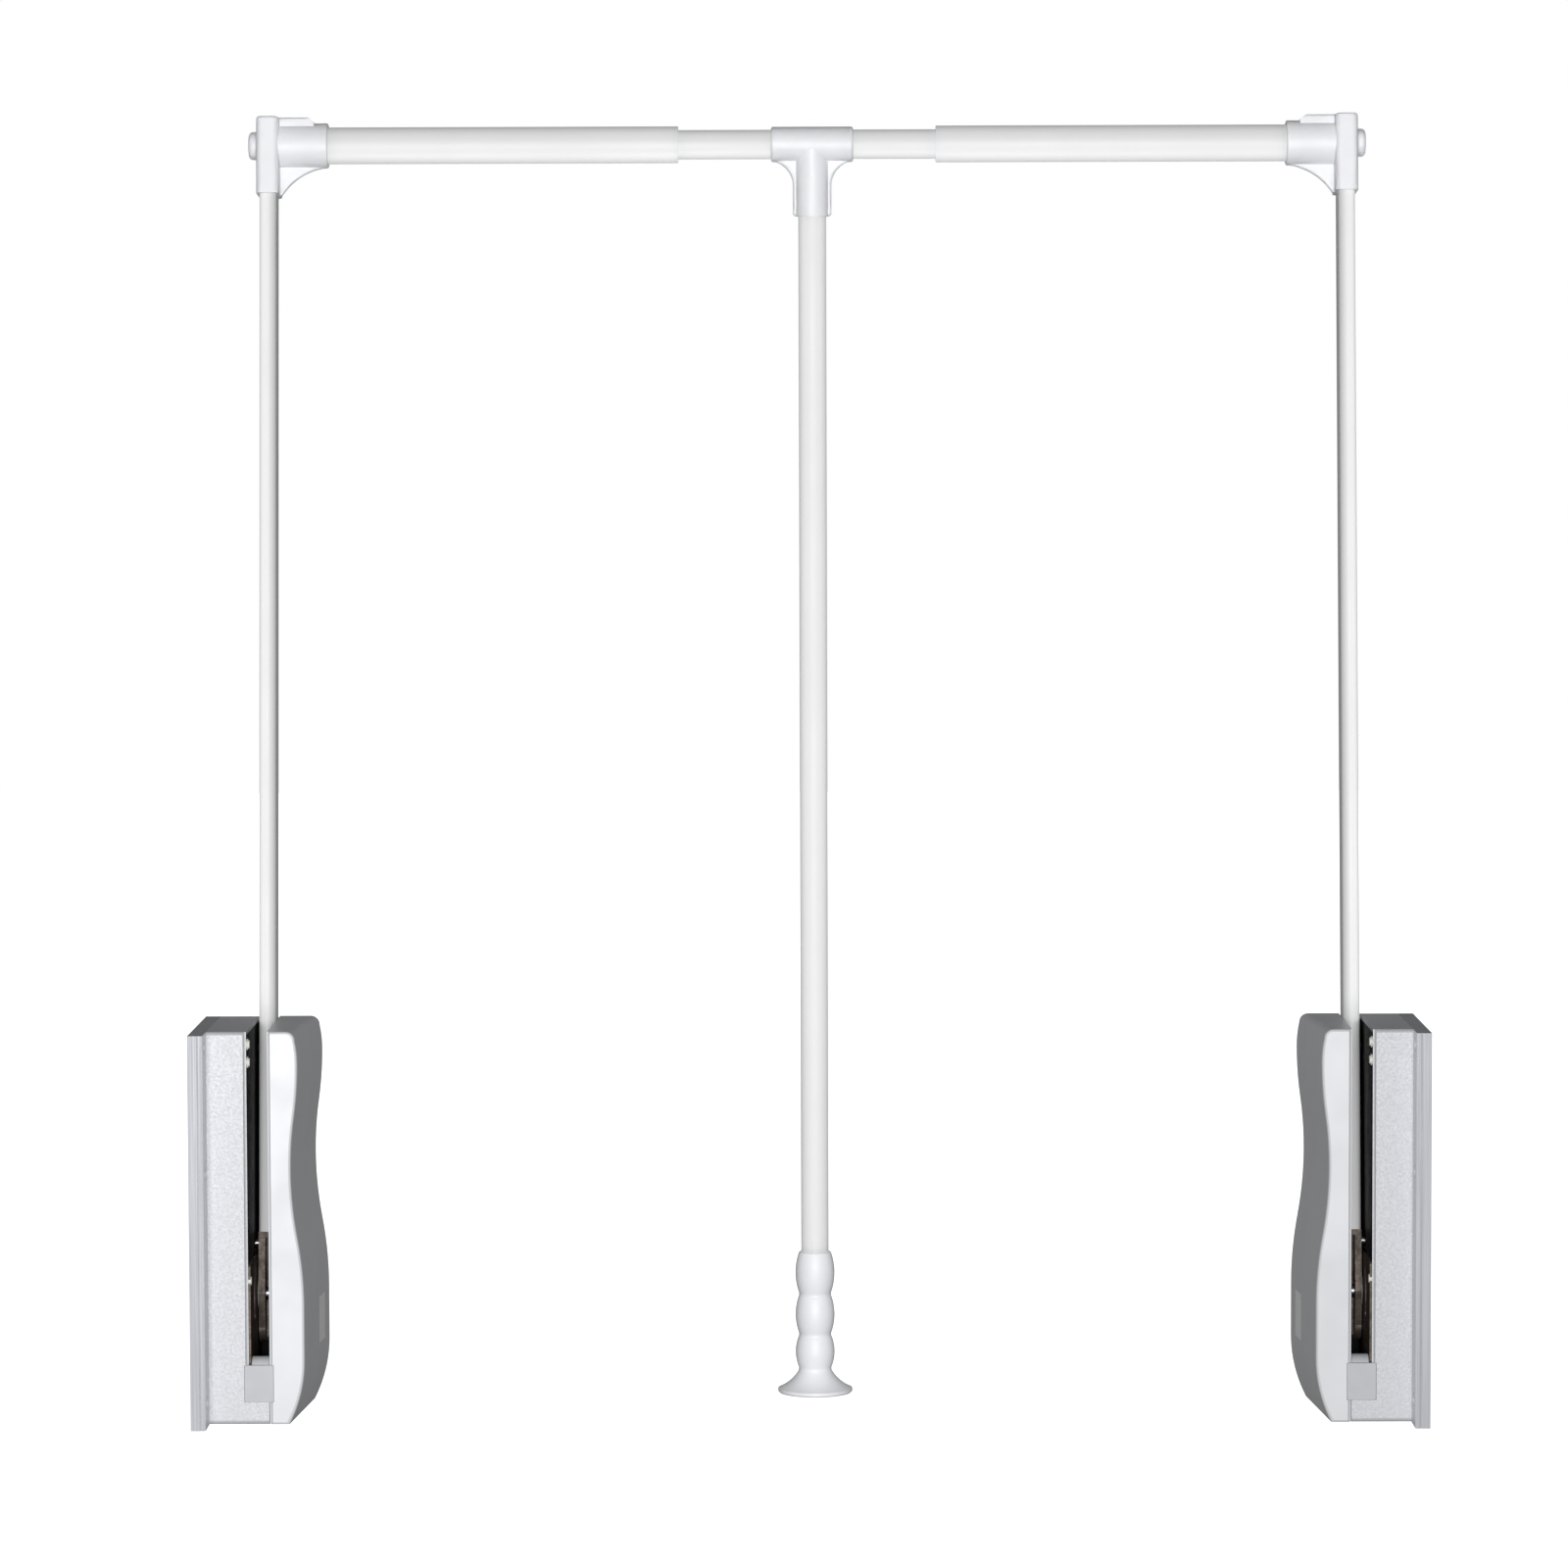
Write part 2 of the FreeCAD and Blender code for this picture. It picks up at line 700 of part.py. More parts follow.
def inner_cover():
    """Moulded cover with the wavy side and a rounded front edge, wider at the back, open to the chassis."""
    body = new_body("left_inner_cover", "housing")
    sections = []
    for back, skin in (("0", "cover_edge"), ("edge_step", "edge_step"), ("cover_edge", "0"), ("house_depth", "0")):
        sections.append(wave_at(body, back, skin, skin, f"(house_height - {skin})"))
    loft(body, "AdditiveLoft", *sections)
    round_lip(body, "slot_far", 1)
    doc.recompute()
    before = body.Tip.Shape.Volume
    ceiling = "(house_height - moulding)"
    front = wave_at(body, "moulding", "moulding", "moulding", ceiling)
    rear = wave_at(body, "house_depth - moulding", "moulding", "moulding", ceiling)
    checked_cut(body, loft(body, "SubtractiveLoft", front, rear), before)
    for back, up, size in BOSSES:
        boss = sketch_on(body, "YZ", "chassis_far")
        circle(boss, back, up, "cover_boss")
        pad(body, boss, f"{size} + cover_flare * {back} / house_depth - chassis_gauge - moulding / 2")
        pilot = sketch_on(body, "YZ", "chassis_far - overrun")
        circle(pilot, back, up, "cover_screw + 2 * running_gap")
        pocket(body, pilot, "pilot_depth + overrun")
    recess = inset_sketch(body)
    rectangle(recess, "inset_front", "inset_low", "inset_front + inset_depth", "inset_low + inset_height")
    pocket(body, recess, "inset_thickness", backwards=True)
    pad_recess = sketch_on(body, "XZ", "-overrun")
    rectangle(pad_recess, "slot_far - overrun", "pad_low",
              "slot_mid + pad_width / 2 + fit_gap / 2", "pad_high + fit_gap")
    pocket(body, pad_recess, "pad_head + overrun")
    return body


def cover_inset():
    """Flush blank in the side of the inner cover."""
    body = new_body("left_cover_inset", "housing")
    face = inset_sketch(body)
    rectangle(face, "inset_front + fit_gap / 2", "inset_low + fit_gap / 2",
              "inset_front + inset_depth - fit_gap / 2", "inset_low + inset_height - fit_gap / 2")
    pad(body, face, "inset_thickness - running_gap", backwards=True)
    return body


def arc_slot(sketch):
    """The crank pin's way through the chassis: an arc slot about the pivot, from rest to fully down."""
    end = "(crank_pin / 2 + 2 * fit_gap)"
    outer = f"(crank_radius + {end})"
    inner = f"(crank_radius - {end})"

    def spot(radius, angle):
        return f"pivot_setback - {radius} * sin({angle})", f"pivot_height + {radius} * cos({angle})"

    outline(sketch, [
        (*spot(outer, "-lean"), end, -1), (*spot(outer, "swing - lean"), outer, -1),
        (*spot(inner, "swing - lean"), end, -1), (*spot(inner, "-lean"), inner, 1),
    ])


def chassis():
    """Black folded-steel U between the mouldings, with bush holes, arc slots and fixing holes."""
    body = new_body("left_chassis", "housing")
    section = sketch_on(body, "XY", "chassis_low")
    outline(section, [
        ("chassis_near", "chassis_front"), ("slot_near", "chassis_front"), ("slot_near", "web_face"),
        ("slot_far", "web_face"), ("slot_far", "chassis_front"), ("chassis_far", "chassis_front"),
        ("chassis_far", "chassis_rear"), ("chassis_near", "chassis_rear"),
    ])
    pad(body, section, "chassis_high - chassis_low")
    dress(body, "Fillet", "chassis_gauge",
          lambda edge: at(edge, "Y", "chassis_rear") and edge.BoundBox.ZLength > value("house_height / 2"))
    ways = sketch_on(body, "YZ", "chassis_near - overrun")
    circle(ways, "pivot_setback", "pivot_height", "bush_diameter + 2 * running_gap")
    arc_slot(ways)
    pocket(body, ways, "chassis_span + 2 * overrun")
    outer_holes = sketch_on(body, "YZ", "chassis_near - overrun")
    for back, up in POSTS + [("pin_setback", "anchor_height")]:
        circle(outer_holes, back, up, "post_tenon + 2 * running_gap")
    for back, up in GLIDES:
        circle(outer_holes, back, up, "glide_stem + 2 * running_gap")
    for back, up in SPIGOTS:
        circle(outer_holes, back, up, "guide_spigot + 2 * running_gap")
    pocket(body, outer_holes, "chassis_gauge + 2 * overrun")
    inner_holes = sketch_on(body, "YZ", "slot_far - overrun")
    for back, up, _ in BOSSES:
        circle(inner_holes, back, up, "cover_screw_head + 2 * running_gap")
    pocket(body, inner_holes, "chassis_gauge + 2 * overrun")
    return body


def guide_plate():
    """Plate in the slot beside the lever, open for the crank pin, its spigots peened behind the chassis."""
    body = new_body("left_guide_plate", "housing")
    blank = sketch_on(body, "YZ", "slot_near")
    rectangle(blank, "chassis_front", "guide_low",
              "pivot_setback - bush_flange / 2 - fit_gap", "guide_high")
    pad(body, blank, "guide_gauge")
    dress(body, "Fillet", "guide_round", lambda edge: edge.BoundBox.XLength > value("guide_gauge / 2"))
    ways = sketch_on(body, "YZ", "slot_near - overrun")
    arc_slot(ways)
    circle(ways, "glide_front", "glide_low", "glide_diameter + 2 * fit_gap")
    pocket(body, ways, "guide_gauge + 2 * overrun")
    for size, reach in (("guide_spigot", "guide_peening + chassis_gauge + guide_gauge / 2"),
                        ("guide_spigot + 2 * guide_peening", "guide_peening")):
        spigots = sketch_on(body, "YZ", "chassis_near - guide_peening")
        for back, up in SPIGOTS:
            circle(spigots, back, up, size)
        pad(body, spigots, reach)
    return body


def standoffs():
    """Four shouldered posts between wall plate and chassis."""
    posts = []
    for back, up in POSTS:
        posts.append(turned([
            ("fit_gap", "plate_web + overrun", "post_tenon"), ("plate_web", "chassis_near", "post_diameter"),
            ("chassis_near - overrun", "slot_near - fit_gap / 2", "post_tenon"),
        ], back, up))
    return group("left_standoffs", "housing", posts)


def cover_screws():
    """Screws from the slot through the chassis into the inner cover's bosses."""
    screws = []
    for back, up, _ in BOSSES:
        screws.append(turned([
            ("slot_far + fit_gap / 2", "chassis_far", "cover_screw_head"),
            ("chassis_far - overrun", "chassis_far + cover_screw_length", "cover_screw"),
        ], back, up))
    return group("left_cover_screws", "housing", screws)


def rest_pad():
    """Soft block at the foot of the slot: a flat head, and a half-round stem that the arm rests on."""
    body = new_body("left_rest_pad", "housing")
    head = sketch_on(body, "XZ", "-pad_proud")
    rectangle(head, "slot_mid - pad_width / 2", "pad_low", "slot_mid + pad_width / 2", "pad_high")
    pad(body, head, "pad_head + pad_proud")
    dress(body, "Fillet", "pad_edge", lambda edge: edge.BoundBox.YLength > value("pad_head"))
    stem = sketch_on(body, "YZ", "slot_near + guide_gauge + fit_gap")
    outline(stem, [
        ("pad_head - pad_proud", "pad_low"), ("pad_back", "pad_low"), ("pad_back", "pad_crest"),
        ("pad_head", "pad_crest", "pad_round", -1), ("pad_head - pad_proud", "pad_crest - pad_proud"),
    ])
    pad(body, stem, "slot_fill - guide_gauge")
    return body


def arm_glides():
    """Three nylon buttons in the outer chassis plate that guide the arm."""
    top = "slot_near + glide_height"
    glides = []
    for back, up in GLIDES:
        glides.append(turned([
            ("chassis_near - glide_step", "chassis_near", "glide_snap"),
            ("chassis_near - glide_step", "slot_near + overrun", "glide_stem"),
            ("slot_near", f"{top} - glide_step", "glide_diameter"),
            ("slot_near", top, "glide_tip"),
        ], back, up))
    return group("left_arm_glides", "housing", glides)


def pivot_bushes():
    """Flanged nylon bushes of the axle: one fills the slot beside the lever, one bears outside."""
    bore = "axle_diameter + 2 * running_gap"
    spot = ("pivot_setback", "pivot_height")
    near = turned([
        ("chassis_near", "slot_near + overrun", "bush_diameter"),
        ("slot_near", "arm_near - fit_gap", "bush_flange"),
    ], *spot)
    far = turned([
        ("slot_far + running_gap", "chassis_far + bush_rim", "bush_diameter"),
        ("chassis_far", "chassis_far + bush_rim", "bush_flange"),
    ], *spot)
    return group("left_pivot_bushes", "housing", [
        cut(near, rod("chassis_near - overrun", "arm_near", bore, *spot)),
        cut(far, rod("slot_far - overrun", "chassis_far + bush_rim + overrun", bore, *spot)),
    ])


def spring_anchor():
    """Shouldered post at the top of the chassis that the spring hangs on."""
    near = "(spring_mid - spring_wire)"
    item = turned([
        ("chassis_near - overrun", "slot_near - fit_gap / 2", "post_tenon"),
        ("spring_mid + spring_wire", "chassis_near", "anchor_shoulder"),
        (near, "chassis_near - overrun", "crank_pin"),
        (f"{near} - head_thickness", near, "anchor_head"),
    ], "pin_setback", "anchor_height")
    return seat(item, "left_spring_anchor", "housing")


def lift_spring():
    """Extension spring, drawn as a close stack of rings between two loops."""
    body = new_body("left_lift_spring", "housing", ("spring_mid", "pin_setback", "0"))
    low = "(pin_height + loop_length)"
    high = "(anchor_height - loop_length)"
    pitch = f"(({high} - {low}) / spring_rings)"
    root = "spring_diameter / 2 - spring_wire / 2"
    inside = "spring_diameter / 2 - spring_wire"
    corners = [(inside, low)]
    for ring in range(round(value("spring_rings"))):
        corners.append((root, f"{low} + {ring} * {pitch}"))
        corners.append(("spring_diameter / 2", f"{low} + {ring + 0.5} * {pitch}"))
    corners += [(root, high), (inside, high)]
    stack = sketch_on(body, "XZ")
    outline(stack, corners)
    turn(body, stack, "V_Axis")
    eye = "(crank_pin / 2 + fit_gap)"
    rim = f"({eye} + spring_wire)"

    def stirrup(sketch, half, centre, way, length):
        end = f"{centre} + {way} * ({length})"
        outline(sketch, [(f"-{half}", centre), (half, centre, half, -way), (half, end), (f"-{half}", end)])

    for centre, way in (("pin_height", 1), ("anchor_height", -1)):
        loop = sketch_on(body, "YZ", "-spring_wire / 2")
        stirrup(loop, rim, centre, way, "loop_length + spring_wire / 2")
        pad(body, loop, "spring_wire")
        opening = sketch_on(body, "YZ", "-spring_wire")
        stirrup(opening, eye, centre, way, "loop_length - spring_wire")
        pocket(body, opening, "2 * spring_wire")
    return body


def damper_body():
    """Hydraulic damper for the soft return, upright above the crank pin, with the plunger's bore."""
    body = new_body("left_damper_body", "housing", ("damper_mid", "damper_setback", "0"))
    section = sketch_on(body, "XZ")
    bore = "plunger_diameter / 2 + running_gap"
    radius = "damper_diameter / 2"
    high = "damper_low + damper_length"
    outline(section, [
        (bore, "damper_low"), (f"{radius} - small_chamfer", "damper_low"),
        (radius, "damper_low + small_chamfer"), (radius, high), ("0", high),
        ("0", f"{high} - damper_cap"), (bore, f"{high} - damper_cap"),
    ])
    turn(body, section, "V_Axis")
    return body


def damper_plunger():
    """Domed plunger of the damper, pressed in by the crank pin at rest."""
    body = new_body("left_damper_plunger", "housing", ("damper_mid", "damper_setback", "0"))
    section = sketch_on(body, "XZ")
    low = "pin_height + crank_pin / 2 + 2 * fit_gap"
    high = "damper_low + damper_length - damper_cap - plunger_spare"
    radius = "plunger_diameter / 2"
    dome = f"(({radius})^2 + plunger_dome^2) / (2 * plunger_dome)"
    outline(section, [("0", low), (radius, f"{low} + plunger_dome", dome, -1), (radius, high), ("0", high)])
    turn(body, section, "V_Axis")
    return body


def damper_clips():
    """Two saddles that hold the damper to the chassis."""
    inner = "(damper_diameter / 2 + running_gap)"
    outer = "(damper_diameter / 2 + saddle_wall)"
    clips = []
    for up in ("damper_low + saddle_inset", "damper_low + damper_length - saddle_inset - saddle_width"):
        body = doc.addObject("PartDesign::Body", "DamperClip")
        section = sketch_on(body, "XY", up)
        outline(section, [
            ("chassis_far", f"damper_setback - {outer}"), ("damper_mid", f"damper_setback - {outer}"),
            ("damper_mid", f"damper_setback - {inner}"),
            ("damper_mid", f"damper_setback + {inner}", inner, 1),
            ("damper_mid", f"damper_setback + {outer}"), ("chassis_far", f"damper_setback + {outer}"),
        ])
        pad(body, section, "saddle_width")
        clips.append(body)
    return group("left_damper_clips", "housing", clips)


# ---------------------------------------------------------------- arm
def pivot_axle():
    """Steel axle that turns with the lever in the bushes, grooved for its retaining rings."""
    item = turned([
        ("near_clip - axle_end", "near_clip", "axle_diameter"),
        ("near_clip - overrun", "near_clip + clip_room + overrun", "axle_groove"),
        ("near_clip + clip_room", "far_clip", "axle_diameter"),
        ("far_clip - overrun", "far_clip + clip_room + overrun", "axle_groove"),
        ("far_clip + clip_room", "far_clip + clip_room + axle_end", "axle_diameter"),
    ])
    return seat(item, "left_pivot_axle", "arm")


def axle_clips():
    """Retaining rings in the axle's grooves."""
    clips = []
    for start in ("near_clip", "far_clip"):
        ring = rod(f"{start} + running_gap", f"{start} + running_gap + clip_thickness", "clip_diameter")
        bore = rod(f"{start} - overrun", f"{start} + clip_thickness + overrun", "axle_groove + running_gap")
        clips.append(cut(ring, bore))
    return group("left_axle_clips", "arm", clips)


def arm_lever():
    """Die-cast lever round the axle: a grooved head with a tail, and a tongue in the arm tube's end."""
    body = new_body("left_arm_lever", "arm")
    head = sketch_on(body, "YZ", "-lever_face")
    half_tail = "tail_width / 2"
    tail_centre = f"-lever_tail + {half_tail}"
    outline(head, [
        ("lever_shoulder / 2", "lever_top"), ("-lever_shoulder / 2", "lever_top"), ("-lever_waist / 2", "0"),
        (f"-{half_tail}", tail_centre), (half_tail, tail_centre, half_tail, -1), ("lever_waist / 2", "0"),
    ])
    pad(body, head, "arm_thickness")
    tongue = sketch_on(body, "YZ", "-lever_face + tube_wall + running_gap")
    rectangle(tongue, "-tongue_depth / 2", "lever_top - groove_stop",
              "tongue_depth / 2", "lever_top + tongue_length")
    pad(body, tongue, "arm_thickness - 2 * tube_wall - 2 * running_gap")
    groove = sketch_on(body, "YZ", "-lever_groove / 2")
    outline(groove, [
        ("-lever_waist", "lever_top - groove_stop"), ("-lever_waist", "-lever_waist"), ("0", "-lever_waist"),
        ("0", "0"), ("-lever_waist / 4", "lever_top - groove_stop"),
    ])
    pocket(body, groove, "lever_groove")
    holes = sketch_on(body, "YZ", "-arm_thickness")
    circle(holes, "0", "0", "axle_diameter + running_gap")
    circle(holes, "0", "crank_radius", "crank_pin + running_gap")
    for up in RIVETS:
        circle(holes, "0", up, "rivet_diameter + running_gap")
    pocket(body, holes, "2 * arm_thickness")
    return body


def arm_rivets():
    """Flush rivets through arm tube and tongue."""
    rivets = [rod("-lever_face", "lever_face", "rivet_diameter", "0", up) for up in RIVETS]
    return group("left_arm_rivets", "arm", rivets)


def crank_pin():
    """Pin through the lever; the spring pulls its outer end and the damper meets its inner end."""
    near = "(spring_mid - arm_mid - spring_wire)"
    item = turned([
        (f"{near} - head_thickness", near, "crank_head"),
        (f"{near} - overrun", "damper_mid - arm_mid + plunger_diameter", "crank_pin"),
    ], "0", "crank_radius")
    return seat(item, "left_crank_pin", "arm")


def arm_tube():
    """Flat-oval arm from the lever's shoulder to the top of the corner connector."""
    body = new_body("left_arm_tube", "arm")
    section = sketch_on(body, "XY", "lever_top + running_gap")
    flat_oval(section, "arm_depth", "arm_thickness")
    flat_oval(section, "arm_depth - 2 * tube_wall", "arm_thickness - 2 * tube_wall")
    pad(body, section, "arm_length + tube_top - lever_top")
    holes = sketch_on(body, "YZ", "-arm_thickness")
    for up in RIVETS:
        circle(holes, "0", up, "rivet_diameter + running_gap")
    circle(holes, "0", "arm_length", "bolt_diameter + fit_gap")
    pocket(body, holes, "2 * arm_thickness")
    return body


def corner_connector():
    """Moulded corner: a squarish sleeve on the arm, a round sleeve on the rail, a crown rib and a web."""
    body = new_body("left_corner_connector", "corner")
    web = sketch_on(body, "XZ", "-web_thickness / 2")
    outline(web, [
        ("sleeve_half - overrun", "0"), ("sleeve_half - overrun", "-connector_drop"),
        ("sleeve_half + web_foot", "-connector_drop"),
        ("sleeve_reach - 2 * small_chamfer", "-rail_sleeve / 2 + running_gap", "web_radius", 1),
        ("sleeve_reach - 2 * small_chamfer", "0"),
    ])
    pad(body, web, "web_thickness")
    dress(body, "Fillet", "web_edge",
          lambda edge: min(edge.BoundBox.XLength, edge.BoundBox.ZLength) > value("web_thickness"))
    front = "(arm_depth / 2 + connector_wall)"
    sleeve = sketch_on(body, "XY", "-connector_drop")
    rectangle(sleeve, "-sleeve_half", f"-{front}", "sleeve_half", front)
    pad(body, sleeve, "connector_drop + connector_rise")
    dress(body, "Fillet", "sleeve_round", lambda edge: edge.BoundBox.ZLength > value("connector_drop"))
    crown = sketch_on(body, "XZ", "-crown_depth / 2")
    outline(crown, [
        ("0", "0"), ("crown_length + crown_slope", "0"), ("crown_length + crown_slope", "rail_sleeve / 2"),
        ("crown_length", "connector_rise"), ("0", "connector_rise"),
    ])
    pad(body, crown, "crown_depth")
    dress(body, "Fillet", "crown_edge", lambda edge: at(edge, "Z", "connector_rise"))
    rail_sleeve = sketch_on(body, "YZ")
    circle(rail_sleeve, "0", "0", "rail_sleeve")
    pad(body, rail_sleeve, "sleeve_reach")
    dress(body, "Fillet", "small_chamfer", lambda edge: at(edge, "X", "sleeve_reach"))
    socket = sketch_on(body, "XY", "-connector_drop - overrun")
    flat_oval(socket, "arm_depth + 2 * running_gap", "arm_thickness + 2 * running_gap")
    pocket(body, socket, "connector_drop + overrun + tube_top + fit_gap")
    rail_socket = sketch_on(body, "YZ", "socket_near")
    circle(rail_socket, "0", "0", "outer_tube + 2 * running_gap")
    pocket(body, rail_socket, "sleeve_reach")
    bolt_hole = sketch_on(body, "YZ", "-sleeve_half - overrun")
    circle(bolt_hole, "0", "0", "bolt_diameter + fit_gap")
    pocket(body, bolt_hole, "socket_near + sleeve_half + 2 * overrun")
    return body


def connector_knob():
    """Round cap on the connector's outer face, with the bolt that locks arm and rail together."""
    body = new_body("left_connector_knob", "corner")
    section = sketch_on(body, "XZ")
    outer = "-sleeve_half - knob_height"
    rise = "knob_diameter / 2"
    outline(section, [
        (outer, "0"), (outer, f"{rise} - knob_round"), (f"{outer} + knob_round", rise, "knob_round", 1),
        ("-sleeve_half", rise), ("-sleeve_half", "bolt_diameter / 2"),
        ("socket_near", "bolt_diameter / 2"), ("socket_near", "0"),
    ])
    turn(body, section, "H_Axis")
    return body


def outer_rail_tube():
    """Thick rail tube, from the connector's socket to the guide bush."""
    start = "socket_near + fit_gap"
    tube = rod(start, "tube_end", "outer_tube")
    bore = rod(f"{start} - overrun", "tube_end + overrun", "outer_tube - 2 * rail_wall")
    return seat(cut(tube, bore), "left_outer_rail_tube", "corner")


def rail_bush():
    """Plastic guide bush with a collar, in the open end of the thick tube."""
    start = "tube_end - bush_length"
    end = "tube_end + bush_collar"
    sleeve = turned([
        (start, "tube_end + overrun", "outer_tube - 2 * rail_wall - 2 * running_gap"),
        ("tube_end + running_gap", end, "outer_tube"),
    ])
    bore = rod(f"{start} - overrun", f"{end} + overrun", "inner_tube + 4 * running_gap")
    return seat(cut(sleeve, bore), "left_rail_bush", "corner")


# ---------------------------------------------------------------- rail and pull pole
def inner_rail_tube():
    """Thin tube through the T connector, with a rolled groove in the middle for the swivel screw."""
    body = new_body("inner_rail_tube", "rail")
    section = sketch_on(body, "XZ")
    radius = "inner_tube / 2"
    lip = "groove_width / 2 + groove_depth"
    floor = "groove_width / 2"

    def skin(height):
        return [("-inner_half", height), (f"-({lip})", height), (f"-{floor}", f"{height} - groove_depth"),
                (floor, f"{height} - groove_depth"), (lip, height), ("inner_half", height)]

    outline(section, skin(radius) + skin(f"{radius} - rail_wall")[::-1])
    turn(body, section, "H_Axis")
    return body


def rail_end_guides():
    """Guide plugs on the thin tube's ends that run inside the thick tubes."""
    plug = "inner_tube - 2 * rail_wall - 2 * running_gap"
    head = "outer_tube - 2 * rail_wall - 4 * running_gap"
    guides = [
        turned([
            ("inner_half + running_gap", "inner_half + guide_head", head),
            ("inner_half - guide_plug", "inner_half + overrun", plug),
        ]),
        turned([
            ("-inner_half - guide_head", "-inner_half - running_gap", head),
            ("-inner_half - overrun", "-inner_half + guide_plug", plug),
        ]),
    ]
    return group("rail_end_guides", "rail", guides)


def t_connector():
    """Moulded T: a sleeve that turns on the thin tube, and a ribbed socket for the pole."""
    body = new_body("t_connector", "rail")
    ribs = sketch_on(body, "XZ", "-rib_thickness / 2")
    under = "-tee_diameter / 2 + running_gap"
    outline(ribs, [
        ("-gusset_reach", "0"), ("-gusset_reach", under), ("-rib_reach", "-gusset_drop", "gusset_radius", 1),
        ("-rib_reach", "-socket_drop + rib_chamfer"), ("-rib_reach + rib_chamfer", "-socket_drop"),
        ("rib_reach - rib_chamfer", "-socket_drop"), ("rib_reach", "-socket_drop + rib_chamfer"),
        ("rib_reach", "-gusset_drop"), ("gusset_reach", under, "gusset_radius", 1), ("gusset_reach", "0"),
    ])
    pad(body, ribs, "rib_thickness")
    dress(body, "Fillet", "rib_edge",
          lambda edge: at(edge, "Y", "rib_thickness / 2") or at(edge, "Y", "-rib_thickness / 2"))
    sleeve = sketch_on(body, "YZ", "-tee_half")
    circle(sleeve, "0", "0", "tee_diameter")
    pad(body, sleeve, "2 * tee_half")
    dress(body, "Fillet", "tee_edge",
          lambda edge: at(edge, "X", "tee_half") or at(edge, "X", "-tee_half"))
    socket = sketch_on(body, "XY", "-socket_drop")
    circle(socket, "0", "0", "socket_diameter")
    pad(body, socket, "socket_drop")
    bore = sketch_on(body, "YZ", "-tee_half - overrun")
    circle(bore, "0", "0", "inner_tube + 4 * running_gap")
    pocket(body, bore, "2 * tee_half + 2 * overrun")
    pole_bore = sketch_on(body, "XY", "-socket_drop - overrun")
    circle(pole_bore, "0", "0", "pole_tube + 2 * running_gap")
    pocket(body, pole_bore, "socket_drop - socket_roof + overrun")
    screw_bore = sketch_on(body, "XY", "-socket_roof - overrun")
    circle(screw_bore, "0", "0", "swivel_pin + running_gap")
    pocket(body, screw_bore, "socket_roof")
    side_bore = sketch_on(body, "XZ", "0")
    circle(side_bore, "0", "-screw_drop", "pole_screw + running_gap")
    pocket(body, side_bore, "socket_diameter")
    return body


def swivel_screw():
    """Screw in the socket's roof whose tip runs in the thin tube's groove and keeps the T in place."""
    body = new_body("swivel_screw", "rail")
    section = sketch_on(body, "XZ")
    head = "-socket_roof - head_thickness"
    tip = "-inner_tube / 2 + groove_depth - fit_gap"
    outline(section, [
        ("0", head), ("swivel_head / 2", head), ("swivel_head / 2", "-socket_roof"),
        ("swivel_pin / 2", "-socket_roof"), ("swivel_pin / 2", tip), ("0", tip),
    ])
    turn(body, section, "V_Axis")
    return body


def pole():
    """Pull pole, from the T connector's socket down into the grip."""
    body = new_body("pole", "rail")
    section = sketch_on(body, "XY", "-pole_drop")
    circle(section, "0", "0", "pole_tube")
    circle(section, "0", "0", "pole_tube - 2 * rail_wall")
    pad(body, section, "pole_drop - socket_roof - head_thickness - fit_gap")
    side_bore = sketch_on(body, "XZ", "0")
    circle(side_bore, "0", "-screw_drop", "pole_screw + running_gap")
    pocket(body, side_bore, "pole_tube")
    return body


def pole_screw():
    """Small screw at the back of the T connector that holds the pole."""
    body = new_body("pole_screw", "rail", ("0", "0", "-screw_drop"))
    section = sketch_on(body, "XY")
    tip = "pole_tube / 2 - screw_bite"
    seat_face = "socket_diameter / 2"
    outline(section, [
        ("0", tip), ("pole_screw / 2", tip), ("pole_screw / 2", seat_face), ("screw_head / 2", seat_face),
        ("screw_head / 2", f"{seat_face} + head_thickness"), ("0", f"{seat_face} + head_thickness"),
    ])
    turn(body, section, "V_Axis")
    return body


def grip():
    """Hand grip: three bulges turned above a flared foot, bored for the pole and hollow underneath."""
    body = new_body("grip", "rail", ("0", "0", "-grip_drop"))
    section = sketch_on(body, "XZ")
    neck = "grip_neck / 2"
    sag = "((grip_bulge - grip_neck) / 2)"
    bore = "pole_tube / 2 + running_gap"
    bore_floor = "grip_drop - pole_drop - fit_gap"
    corners = [
        ("cap_diameter / 2", "0"), ("foot_diameter / 2 - small_chamfer", "0"),
        ("foot_diameter / 2", "small_chamfer"), ("foot_diameter / 2", "foot_rim"),
        (neck, "foot_height", "foot_diameter - grip_neck", 1),
    ]
    for top, length in (("foot_height + bulge_low", "bulge_low"),
                        ("foot_height + bulge_low + bulge_middle", "bulge_middle")):
        corners.append((neck, top, f"(({length} / 2)^2 + {sag}^2) / (2 * {sag})", -1))
    corners += [
        ("grip_mouth / 2", "grip_length", "grip_crown", -1), (bore, "grip_length"),
        (bore, bore_floor), ("0", bore_floor),
        ("0", "foot_height"), (bore, "foot_height - grip_wall"), ("cap_diameter / 2", "cap_thickness"),
    ]
    outline(section, corners)
    turn(body, section, "V_Axis")
    dress(body, "Fillet", "neck_round", lambda edge: is_ring(edge, "grip_neck"))
    dress(body, "Fillet", "small_chamfer", lambda edge: is_ring(edge, "grip_mouth"))
    return body


def grip_cap():
    """Plug that closes the grip's foot."""
    body = new_body("grip_cap", "rail", ("0", "0", "-grip_drop"))
    section = sketch_on(body, "XY", "fit_gap")
    circle(section, "0", "0", "cap_diameter - 2 * running_gap")
    pad(body, section, "cap_thickness - fit_gap - running_gap")
    return body


